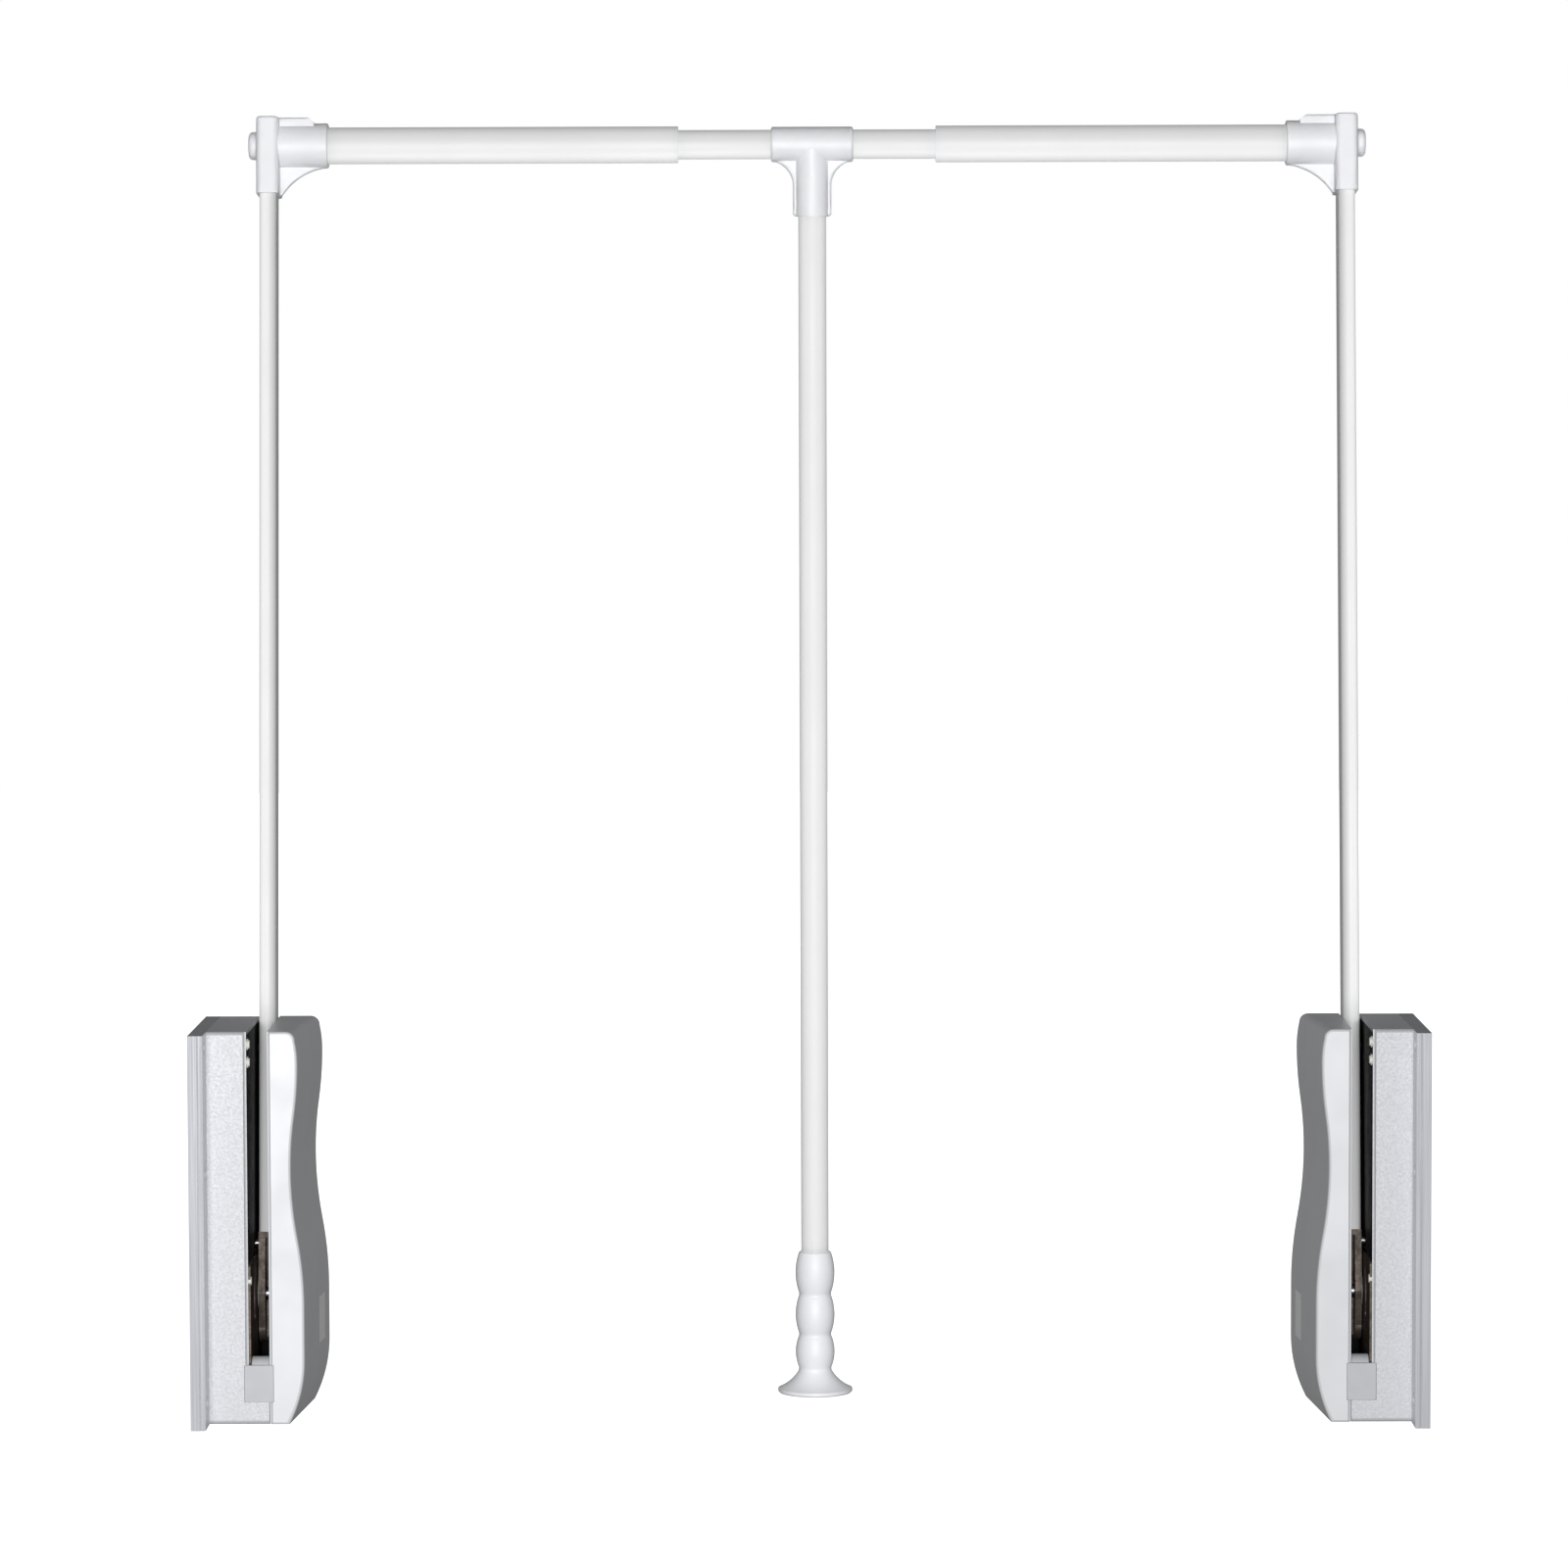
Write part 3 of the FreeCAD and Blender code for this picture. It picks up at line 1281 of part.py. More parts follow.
SIDE_PIECES = [
    wall_plate, casing, inner_cover, cover_inset, chassis, guide_plate, standoffs, cover_screws, rest_pad,
    arm_glides, pivot_bushes, spring_anchor, lift_spring, damper_body, damper_plunger, damper_clips,
    pivot_axle, axle_clips, arm_lever, arm_rivets, crank_pin,
    arm_tube, corner_connector, connector_knob, outer_rail_tube, rail_bush,
]
MIDDLE_PIECES = [
    inner_rail_tube, rail_end_guides, t_connector, swivel_screw, pole, pole_screw, grip, grip_cap,
]


def mirrored(piece):
    """The right-hand twin of a left-hand piece, across the mid-plane."""
    label = piece.Label.replace("left_", "right_")
    item = doc.addObject("Part::Mirroring", label)
    item.Source = piece
    item.Normal = Vector(1, 0, 0)
    bind(item, "Base.x", "frame_width / 2")
    item.Label = label
    return item


def check(pieces):
    """Stop unless every object is up to date and every sub-part is a valid shape."""
    for item in doc.Objects:
        if "Invalid" in item.State or "Error" in item.State:
            raise RuntimeError(f"{item.Name} ({item.Label}) failed: {item.State}")
    for piece in pieces:
        if piece.Shape.isNull() or not piece.Shape.isValid() or not piece.Shape.Solids:
            raise RuntimeError(f"{piece.Label} has no valid solid")


def main():
    fill_sheet()
    left = [make() for make in SIDE_PIECES]
    middle = [make() for make in MIDDLE_PIECES]
    right = [mirrored(piece) for piece in left]
    doc.recompute()
    pieces = left + middle + right
    check(pieces)
    os.makedirs("parts", exist_ok=True)
    for piece in pieces:
        piece.Shape.exportStep(os.path.join("parts", piece.Label + ".step"))
        print(f"{piece.Label}: {len(piece.Shape.Solids)} solid(s), {piece.Shape.Volume / 1000:.2f} cm3")


main()
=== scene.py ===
"""Looks of a pull-down closet rod: springs, rest buffers, finishes and a small studio.

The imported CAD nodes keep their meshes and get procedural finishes. The two lift springs and the
two rest buffers are modelled here.
"""
import math

import bmesh
import bpy
from mathutils import Matrix, Vector


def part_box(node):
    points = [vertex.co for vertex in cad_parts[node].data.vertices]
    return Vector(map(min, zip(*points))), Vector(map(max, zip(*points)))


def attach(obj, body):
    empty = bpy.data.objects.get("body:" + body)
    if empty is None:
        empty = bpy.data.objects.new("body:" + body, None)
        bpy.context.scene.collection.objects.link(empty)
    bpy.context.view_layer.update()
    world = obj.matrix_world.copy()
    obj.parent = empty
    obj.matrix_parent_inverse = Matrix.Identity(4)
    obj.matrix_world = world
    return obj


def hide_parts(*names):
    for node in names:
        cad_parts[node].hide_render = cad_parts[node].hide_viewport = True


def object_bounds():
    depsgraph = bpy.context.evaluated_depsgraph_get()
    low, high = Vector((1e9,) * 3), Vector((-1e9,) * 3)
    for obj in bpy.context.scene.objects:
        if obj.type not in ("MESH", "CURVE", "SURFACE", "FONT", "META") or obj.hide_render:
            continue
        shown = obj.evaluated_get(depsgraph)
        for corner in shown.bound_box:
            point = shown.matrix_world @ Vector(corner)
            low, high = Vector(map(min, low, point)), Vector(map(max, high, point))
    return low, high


bl_info = {
    "name": "Pull-down closet rod",
    "version": (1, 0, 0),
    "blender": (4, 5, 0),
    "location": "3D View > Sidebar > Closet Rod",
    "description": "Adds springs, rest buffers, finishes and a studio to the pull-down closet rod",
    "category": "Object",
}

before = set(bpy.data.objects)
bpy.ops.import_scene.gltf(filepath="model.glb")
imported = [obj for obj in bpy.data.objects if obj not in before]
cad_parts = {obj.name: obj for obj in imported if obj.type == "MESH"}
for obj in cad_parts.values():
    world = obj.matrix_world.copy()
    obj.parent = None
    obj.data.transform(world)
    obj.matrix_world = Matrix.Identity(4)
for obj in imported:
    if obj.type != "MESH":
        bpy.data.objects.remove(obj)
MM = 0.001
SIDES = ("left", "right")
CAD_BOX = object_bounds()

# most of a noise lies between these values
NOISE_LOW, NOISE_HIGH = 0.3, 0.7

# the springs
WIRE_SIDES, TURN_STEPS = 10, 24  # edges round the wire, steps in a turn
HOOK_STEPS, HOOK_TURN = 22, 290  # steps and degrees of the loop round the pin
HOOK_BELOW = 4 * MM  # from a pin's axis to the inside of its hook, 1 mm clear of the pin

# the studio, in metres
MIDDLE = 0.412  # half the width of the closet rod
FLOOR_DROP = 1.2  # low enough for the arms and the pole to swing down above the floor
AIM = Vector((MIDDLE, 0.1, 0.25))  # what every softbox faces
FRONT = (-4.3, 0.3)  # setback and height of the softboxes behind the camera
CAMERA_PLACE = (0.4134, -3.8829, 0.5514)
CAMERA_PITCH, CAMERA_TURN, CAMERA_ROLL = 3.8, 0.26, -0.172  # degrees
CAMERA_LENS, CAMERA_SENSOR = 135, 36  # millimetres


def linear(hex_code):
    """The linear colour, with alpha, of an sRGB hex value."""
    parts = [int(hex_code[i:i + 2], 16) / 255 for i in (1, 3, 5)]
    return [p / 12.92 if p <= 0.04045 else ((p + 0.055) / 1.055) ** 2.4 for p in parts] + [1.0]


def colour_property(name, description, hex_code):
    """A colour of the panel, given as an sRGB hex value."""
    return bpy.props.FloatVectorProperty(
        name=name, description=description, subtype="COLOR_GAMMA", size=3, min=0, max=1,
        default=[int(hex_code[i:i + 2], 16) / 255 for i in (1, 3, 5)],
    )


def length_property(name, description, millimetres):
    """A length of the panel, given in millimetres."""
    return bpy.props.FloatProperty(
        name=name, description=description, default=millimetres * MM, unit="LENGTH", precision=4)


def hex_of(colour):
    """The hex value of a colour picked in the panel."""
    return "#" + "".join(f"{round(c * 255):02X}" for c in colour)


# ---------------------------------------------------------------- what a user would change
class ClosetRodColours(bpy.types.PropertyGroup):
    """Colours of the visible finishes."""

    casing: colour_property("Casings", "Grained silver ABS of the casings", "#CACBCF")
    cover: colour_property("Covers", "Smoother, lighter silver ABS of the wavy covers", "#DADBDE")
    inset: colour_property("Axle covers", "Polished ABS of the small axle covers", "#FFFFFF")
    plate: colour_property("Wall plates", "Darker silver ABS of the wall plates", "#A0A2A6")
    tubes: colour_property("Tubes", "Powder coat of arms, rail and pole", "#EFF0EF")
    mouldings: colour_property("Mouldings", "Connectors, T and grip", "#EFF0F4")
    buffers: colour_property("Rest buffers", "Soft blocks at the foot of the slots", "#CBCDD0")
    # near-black partly as painted shade: it stands in for the deep shade inside the slots
    chassis: colour_property("Chassis", "Folded steel inside the slots", "#0B0B0C")
    lever: colour_property("Levers", "Passivated die-cast levers", "#6B6058")


class ClosetRodSizes(bpy.types.PropertyGroup):
    """Sizes of the pieces that are modelled here."""

    wire: length_property("Spring wire", "Diameter of the lift springs' wire", 2.5)
    coil: length_property("Coil radius", "Radius of the wire's centre line in a coil", 7.5)
    hook: length_property("Hook radius", "Radius of the wire's centre line in a hook", 5.8)
    turns: bpy.props.IntProperty(
        name="Turns", description="Coils in one half of a spring", default=18)
    buffer_edge: length_property("Buffer edge", "Rounding of the rest buffer's front edges", 1.0)


class ClosetRodStudio(bpy.types.PropertyGroup):
    """Lights and floor."""

    key: bpy.props.FloatProperty(
        name="Front light", description="Power of the front softboxes", default=165, unit="POWER")
    tent: bpy.props.FloatProperty(
        name="Tent light", description="Power of the boxes round the white pieces", default=60,
        unit="POWER")
    back: bpy.props.FloatProperty(
        name="Back light", description="Strength of the lights from behind and outside", default=2)
    ambient: bpy.props.FloatProperty(
        name="Room light", description="Brightness of the dim room around", default=0.16)
    floor: colour_property("Floor", "Colour of the plain floor", "#F7F7F7")


# ---------------------------------------------------------------- small helpers
def add_node(tree, kind, inputs=None, **settings):
    """One shader node. An input that is given a socket is linked, any other is set."""
    made = tree.nodes.new(kind)
    for name, setting in settings.items():
        setattr(made, name, setting)
    for name, given in (inputs or {}).items():
        if isinstance(given, bpy.types.NodeSocket):
            tree.links.new(given, made.inputs[name])
        else:
            made.inputs[name].default_value = given
    return made


def new_material(name, shader):
    """An empty material with its Principled shader, whose constants come in `shader`."""
    made = bpy.data.materials.new(name)
    made.use_nodes = True
    tree = made.node_tree
    tree.nodes.clear()
    bsdf = add_node(tree, "ShaderNodeBsdfPrincipled", shader)
    add_node(tree, "ShaderNodeOutputMaterial", {"Surface": bsdf.outputs["BSDF"]})
    coords = add_node(tree, "ShaderNodeTexCoord").outputs["Object"]
    return made, tree, bsdf, coords


def noise(tree, coords, size_mm, detail=2.0, roughness=0.5):
    """Noise whose lumps are about size_mm across."""
    return add_node(tree, "ShaderNodeTexNoise", {
        "Vector": coords, "Scale": 1 / (size_mm * MM), "Detail": detail, "Roughness": roughness,
    }).outputs["Fac"]


def blend_colours(tree, factor, first, second):
    """A colour between two hex values, by factor."""
    return add_node(tree, "ShaderNodeMix", {
        0: factor, 6: linear(first), 7: linear(second),
    }, data_type="RGBA").outputs[2]


def spread(tree, value, out_low, out_high, low=NOISE_LOW, high=NOISE_HIGH):
    """The part of value from low to high, stretched to out_low to out_high."""
    return add_node(tree, "ShaderNodeMapRange", {
        "Value": value, "From Min": low, "From Max": high, "To Min": out_low, "To Max": out_high,
    }).outputs["Result"]


def bump(tree, bsdf, height, depth_mm):
    """Bump of depth_mm from a height of 0 to 1."""
    made = add_node(tree, "ShaderNodeBump", {
        "Height": height, "Strength": 1.0, "Distance": depth_mm * MM,
    })
    tree.links.new(made.outputs["Normal"], bsdf.inputs["Normal"])


def colour(tree, bsdf, factor, first, second):
    """Base colour between two hex values, by factor."""
    tree.links.new(blend_colours(tree, factor, first, second), bsdf.inputs["Base Color"])


def roughness(tree, bsdf, value):
    tree.links.new(value, bsdf.inputs["Roughness"])


def shade(hex_code, factor):
    """The hex value made lighter or darker by factor."""
    parts = [round(int(hex_code[i:i + 2], 16) * factor) for i in (1, 3, 5)]
    return "#" + "".join(f"{min(255, part):02X}" for part in parts)


def assign(material, *nodes):
    """Gives the CAD nodes this material in every slot."""
    for node in nodes:
        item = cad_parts[node]
        if not item.material_slots:
            item.data.materials.append(material)
        for place in item.material_slots:
            place.material = material


def each_side(*names):
    """The node names of both sides."""
    return [f"{side}_{name}" for side in SIDES for name in names]


def deselect():
    if bpy.context.object and bpy.context.object.mode == "EDIT":
        bpy.ops.object.mode_set(mode="OBJECT")
    bpy.ops.object.select_all(action="DESELECT")


def select_edges(wanted):
    """Selects the edges of the edited mesh for which wanted(edge) is true."""
    item = bpy.context.object
    bpy.ops.mesh.select_all(action="DESELECT")
    bpy.ops.mesh.select_mode(type="EDGE")
    mesh = bmesh.from_edit_mesh(item.data)
    found = [edge for edge in mesh.edges if wanted(edge)]
    if not found:
        raise RuntimeError(f"no edge to select on {item.name}")
    for edge in found:
        edge.select_set(True)
    mesh.select_flush_mode()
    bmesh.update_edit_mesh(item.data)


def apply_modifiers(item):
    for modifier in list(item.modifiers):
        bpy.ops.object.modifier_apply(modifier=modifier.name)


def finish_piece(item, name, body, material):
    """Names the piece, moves its place into its mesh, and lets it ride on a body."""
    item.name = item.data.name = name
    item.data.materials.clear()
    item.data.materials.append(material)
    bpy.ops.object.transform_apply(location=True, rotation=True, scale=True)
    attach(item, body)


# ---------------------------------------------------------------- finishes
# Sizes are those of the real textures, in mm. Stipples and grains under 0.5 mm wouldn't show,
# so they are drawn at 0.6 to 1.6 mm.
def silver_abs(colours):
    """Spark-textured ABS with aluminium pigment: matt, cool silver-white with a fine even grain."""
    made, tree, bsdf, coords = new_material("Silver ABS, spark-textured", {
        "Metallic": 0.12, "Roughness": 0.46, "IOR": 1.5, "Coat Weight": 0.05, "Coat Roughness": 0.3,
    })
    base = hex_of(colours.casing)
    # the real texture is 0.1 to 0.2 mm and is drawn at 1.6 mm so that it shows
    grain = noise(tree, coords, 1.6, 3.0, 0.7)
    colour(tree, bsdf, spread(tree, grain, 0, 1), shade(base, 1.035), shade(base, 0.945))
    roughness(tree, bsdf, spread(tree, grain, 0.4, 0.54))
    bump(tree, bsdf, grain, 0.09)
    return made


def satin_abs(colours):
    """Silver ABS from a finer mould: lighter, smoother and glossier, with faint flow clouds."""
    made, tree, bsdf, coords = new_material("Silver ABS, satin moulded", {
        "Metallic": 0.08, "Roughness": 0.4, "IOR": 1.5, "Coat Weight": 0.08, "Coat Roughness": 0.25,
    })
    base = hex_of(colours.cover)
    flow = noise(tree, coords, 35, 3.0)
    stipple = noise(tree, coords, 0.8, 2.0)
    colour(tree, bsdf, flow, base, shade(base, 0.97))
    roughness(tree, bsdf, spread(tree, flow, 0.36, 0.46))
    bump(tree, bsdf, stipple, 0.02)
    return made


def polished_abs(colours):
    """ABS from a polished mould, on the small axle covers: the lightest and smoothest silver."""
    made, tree, bsdf, coords = new_material("Light silver ABS, polished mould", {
        "Roughness": 0.3, "IOR": 1.5,
    })
    base = hex_of(colours.inset)
    flow = noise(tree, coords, 12, 3.0)
    colour(tree, bsdf, flow, base, shade(base, 0.96))
    roughness(tree, bsdf, spread(tree, flow, 0.26, 0.36))
    bump(tree, bsdf, noise(tree, coords, 1.2, 2.0), 0.01)
    return made


def drawn_abs(colours):
    """Darker silver ABS of the wall plates: upright draw lines, as the mould's sides leave them."""
    made, tree, bsdf, coords = new_material("Silver ABS with draw lines", {
        "Metallic": 0.15, "Roughness": 0.42, "IOR": 1.5,
    })
    base = hex_of(colours.plate)
    # lines of about 1 mm across and 80 mm long
    along = add_node(tree, "ShaderNodeMapping", {
        "Vector": coords, "Scale": (1, 1, 0.012),
    }).outputs["Vector"]
    lines = noise(tree, along, 1.1, 3.0, 0.6)
    colour(tree, bsdf, spread(tree, lines, 0, 1), shade(base, 1.04), shade(base, 0.95))
    roughness(tree, bsdf, spread(tree, lines, 0.36, 0.5))
    bump(tree, bsdf, lines, 0.04)
    return made


def powder_coat(colours):
    """White polyester powder coat on steel tube: satin, with the soft waves of orange peel."""
    made, tree, bsdf, coords = new_material("White powder coat on steel tube", {
        "Roughness": 0.45, "IOR": 1.48,
    })
    base = hex_of(colours.tubes)
    peel = noise(tree, coords, 2.4, 1.5)
    haze = noise(tree, coords, 60, 2.0)
    colour(tree, bsdf, haze, base, shade(base, 0.975))
    roughness(tree, bsdf, spread(tree, haze, 0.4, 0.5))
    bump(tree, bsdf, peel, 0.035)
    return made


def white_abs(colours):
    """Semi-gloss moulded ABS: a cool white with the slight flow haze of thick mouldings."""
    made, tree, bsdf, coords = new_material("White ABS, semi-gloss moulded", {
        "Roughness": 0.42, "IOR": 1.5, "Subsurface Weight": 0.06, "Subsurface Scale": 0.002,
    })
    base = hex_of(colours.mouldings)
    flow = noise(tree, coords, 16, 3.0)
    stipple = noise(tree, coords, 0.8, 2.0)
    colour(tree, bsdf, flow, base, shade(base, 0.965))
    roughness(tree, bsdf, spread(tree, flow, 0.38, 0.48))
    bump(tree, bsdf, stipple, 0.012)
    return made


def natural_nylon(colours):
    """Natural nylon, turned and moulded: warm, slightly see-through white, dull where parts rub."""
    made, tree, bsdf, coords = new_material("Natural nylon, moulded", {
        "Roughness": 0.45, "IOR": 1.53, "Subsurface Weight": 0.2, "Subsurface Scale": 0.003,
    })
    cloud = noise(tree, coords, 4, 3.0)
    colour(tree, bsdf, cloud, "#F1EFE8", "#DEDBD0")
    roughness(tree, bsdf, spread(tree, cloud, 0.38, 0.58))
    bump(tree, bsdf, noise(tree, coords, 0.7, 2.0), 0.01)
    return made


def black_coat_and_slot_shade(colours):
    """Black cathodic dip coat on folded sheet steel: satin black with greyer rubbed patches. Its
    near-black is also painted shade, standing in for the deep shade inside the narrow slots.
    """
    made, tree, bsdf, coords = new_material("Black dip coat on sheet steel", {
        "Roughness": 0.6, "IOR": 1.5, "Specular IOR Level": 0.25,
    })
    base = hex_of(colours.chassis)
    rub = noise(tree, coords, 14, 6.0, 0.65)
    colour(tree, bsdf, spread(tree, rub, 0, 1, 0.5, 0.8), base, "#1D1D1F")
    roughness(tree, bsdf, spread(tree, rub, 0.5, 0.68, 0.3, 0.8))
    bump(tree, bsdf, noise(tree, coords, 1.6, 2.0), 0.02)
    return made


def bright_zinc(colours):
    """Bright zinc plate on turned steel: blue-white metal with faint rings from the lathe."""
    made, tree, bsdf, coords = new_material("Bright zinc plate on turned steel", {
        "Metallic": 1.0, "Roughness": 0.3,
    })
    cloud = noise(tree, coords, 5, 4.0, 0.6)
    rings = add_node(tree, "ShaderNodeTexWave", {
        "Vector": coords, "Scale": 1 / (2.2 * MM), "Distortion": 0.6, "Detail": 2.0,
    }, bands_direction="X").outputs["Fac"]
    colour(tree, bsdf, cloud, "#C9CCD0", "#A3A7AC")
    roughness(tree, bsdf, spread(tree, cloud, 0.22, 0.4))
    bump(tree, bsdf, rings, 0.015)
    return made


def passivated_zinc(colours):
    """Passivated zinc under old grease: dull grey-brown metal, clouded from tan to dark bronze."""
    made, tree, bsdf, coords = new_material("Passivated zinc, greased", {
        "Metallic": 0.7, "Roughness": 0.5,
    })
    base = hex_of(colours.lever)
    cloud = noise(tree, coords, 7, 5.0, 0.6)
    skin = noise(tree, coords, 1.4, 3.0, 0.6)
    colour(tree, bsdf, spread(tree, cloud, 0, 1, 0.35, 0.65), base, shade(base, 0.62))
    roughness(tree, bsdf, spread(tree, skin, 0.42, 0.62))
    bump(tree, bsdf, skin, 0.05)
    return made


def oiled_spring_steel(colours):
    """Patented spring wire under oil: dark grey metal with fine marks along the drawn wire."""
    made, tree, bsdf, coords = new_material("Oiled spring steel wire", {
        "Metallic": 1.0, "Roughness": 0.34, "Coat Weight": 0.3, "Coat Roughness": 0.2,
    })
    film = noise(tree, coords, 9, 4.0, 0.6)
    colour(tree, bsdf, film, "#6B6D72", "#46474B")
    roughness(tree, bsdf, spread(tree, film, 0.26, 0.46))
    bump(tree, bsdf, noise(tree, coords, 0.6, 2.0), 0.01)
    return made


def grey_elastomer(colours):
    """Soft thermoplastic elastomer: dead-matt light grey with a fine stipple."""
    made, tree, bsdf, coords = new_material("Light-grey elastomer, moulded", {
        "Roughness": 0.72, "IOR": 1.48, "Sheen Weight": 0.15, "Sheen Roughness": 0.4,
    })
    base = hex_of(colours.buffers)
    stipple = noise(tree, coords, 0.9, 3.0, 0.7)
    cloud = noise(tree, coords, 9, 3.0)
    colour(tree, bsdf, cloud, base, shade(base, 0.95))
    roughness(tree, bsdf, spread(tree, stipple, 0.66, 0.8))
    bump(tree, bsdf, stipple, 0.03)
    return made


def acetal(colours):
    """Moulded acetal of the damper: dark grey and waxy."""
    made, tree, bsdf, coords = new_material("Dark grey acetal, moulded", {
        "Roughness": 0.38, "IOR": 1.48,
    })
    flow = noise(tree, coords, 10, 3.0)
    colour(tree, bsdf, flow, "#4A4C50", "#3D3F43")
    roughness(tree, bsdf, spread(tree, flow, 0.34, 0.46))
    bump(tree, bsdf, noise(tree, coords, 0.8, 2.0), 0.01)
    return made


def ground_steel(colours):
    """Ground and polished rod: bright steel with marks round the rod."""
    made, tree, bsdf, coords = new_material("Ground steel rod", {
        "Metallic": 1.0, "Roughness": 0.16,
    })
    marks = add_node(tree, "ShaderNodeTexWave", {
        "Vector": coords, "Scale": 1 / (1.2 * MM), "Distortion": 1.5, "Detail": 3.0,
    }, bands_direction="Z").outputs["Fac"]
    colour(tree, bsdf, marks, "#C4C6C9", "#B4B7BA")
    roughness(tree, bsdf, spread(tree, marks, 0.12, 0.22, 0, 1))
    bump(tree, bsdf, marks, 0.004)
    return made


FINISHES = {}


def finish_once(build):
    """The material of a finish, built the first time that it is asked for."""
    if build.__name__ not in FINISHES:
        FINISHES[build.__name__] = build(bpy.context.scene.closet_rod_colours)
    return FINISHES[build.__name__]


# ---------------------------------------------------------------- operators
class CLOSETROD_OT_housings(bpy.types.Operator):
    """Finish the side housings: wall plates, casings, covers, chassis and their small parts"""

    bl_idname = "closetrod.housings"
    bl_label = "Finish housings"

    def execute(self, context):
        assign(finish_once(silver_abs), *each_side("casing"))
        assign(finish_once(satin_abs), *each_side("inner_cover"))
        assign(finish_once(polished_abs), *each_side("cover_inset"))
        assign(finish_once(drawn_abs), *each_side("wall_plate"))
        assign(finish_once(passivated_zinc), *each_side("guide_plate"))
        # the black coat on the chassis and clips is also painted shade for the deep shade inside
        # the slots
        assign(finish_once(black_coat_and_slot_shade), *each_side("chassis", "damper_clips"))
        assign(finish_once(bright_zinc), *each_side("standoffs", "cover_screws", "spring_anchor"))
        assign(finish_once(natural_nylon), *each_side("arm_glides", "pivot_bushes"))
        return {"FINISHED"}


class CLOSETROD_OT_dampers(bpy.types.Operator):
    """Finish the dampers and their plungers"""

    bl_idname = "closetrod.dampers"
    bl_label = "Finish dampers"

    def execute(self, context):
        assign(finish_once(acetal), *each_side("damper_body"))
        assign(finish_once(ground_steel), *each_side("damper_plunger"))
        return {"FINISHED"}


class CLOSETROD_OT_arms(bpy.types.Operator):
    """Finish the swinging arms: tubes, levers, axles, pins and corner connectors"""

    bl_idname = "closetrod.arms"
    bl_label = "Finish arms"

    def execute(self, context):
        assign(finish_once(powder_coat), *each_side("arm_tube", "outer_rail_tube"))
        assign(finish_once(passivated_zinc), *each_side("arm_lever"))
        steel = each_side("pivot_axle", "axle_clips", "arm_rivets", "crank_pin")
        mouldings = each_side("corner_connector", "connector_knob", "rail_bush")
        assign(finish_once(bright_zinc), *steel)
        assign(finish_once(white_abs), *mouldings)
        return {"FINISHED"}


class CLOSETROD_OT_rail(bpy.types.Operator):
    """Finish the thin rail tube and the guides in its ends"""

    bl_idname = "closetrod.rail"
    bl_label = "Finish rail"

    def execute(self, context):
        assign(finish_once(powder_coat), "inner_rail_tube")
        assign(finish_once(natural_nylon), "rail_end_guides")
        return {"FINISHED"}


class CLOSETROD_OT_pull_pole(bpy.types.Operator):
    """Finish the T connector, the pull pole and its grip"""

    bl_idname = "closetrod.pull_pole"
    bl_label = "Finish pull pole"

    def execute(self, context):
        assign(finish_once(powder_coat), "pole")
        assign(finish_once(white_abs), "t_connector", "grip", "grip_cap")
        assign(finish_once(bright_zinc), "swivel_screw", "pole_screw")
        return {"FINISHED"}


class CLOSETROD_OT_rest_buffers(bpy.types.Operator):
    """Add the two soft rest buffers: domed blocks with rounded edges at the foot of the slots"""

    bl_idname = "closetrod.rest_buffers"
    bl_label = "Add rest buffers"

    def execute(self, context):
        edge = context.scene.closet_rod_sizes.buffer_edge
        for side in SIDES:
            name = f"{side}_rest_pad"
            deselect()
            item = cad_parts[name].copy()
            item.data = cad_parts[name].data.copy()
            context.collection.objects.link(item)
            context.view_layer.objects.active = item
            item.select_set(True)
            bpy.ops.object.mode_set(mode="EDIT")
            bpy.ops.mesh.select_all(action="SELECT")
            bpy.ops.mesh.remove_doubles(threshold=0.001 * MM)
            bpy.ops.mesh.dissolve_limited(angle_limit=math.radians(1))
            bpy.ops.object.mode_set(mode="OBJECT")
            bevel = item.modifiers.new("Edges", "BEVEL")
            bevel.width, bevel.segments, bevel.limit_method = edge, 3, "ANGLE"
            bevel.angle_limit = math.radians(60)
            apply_modifiers(item)
            bpy.ops.object.shade_smooth_by_angle(angle=math.radians(40))
            finish_piece(item, f"{side}_soft_buffer", f"{side}_housing",
                         finish_once(grey_elastomer))
            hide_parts(name)
        return {"FINISHED"}


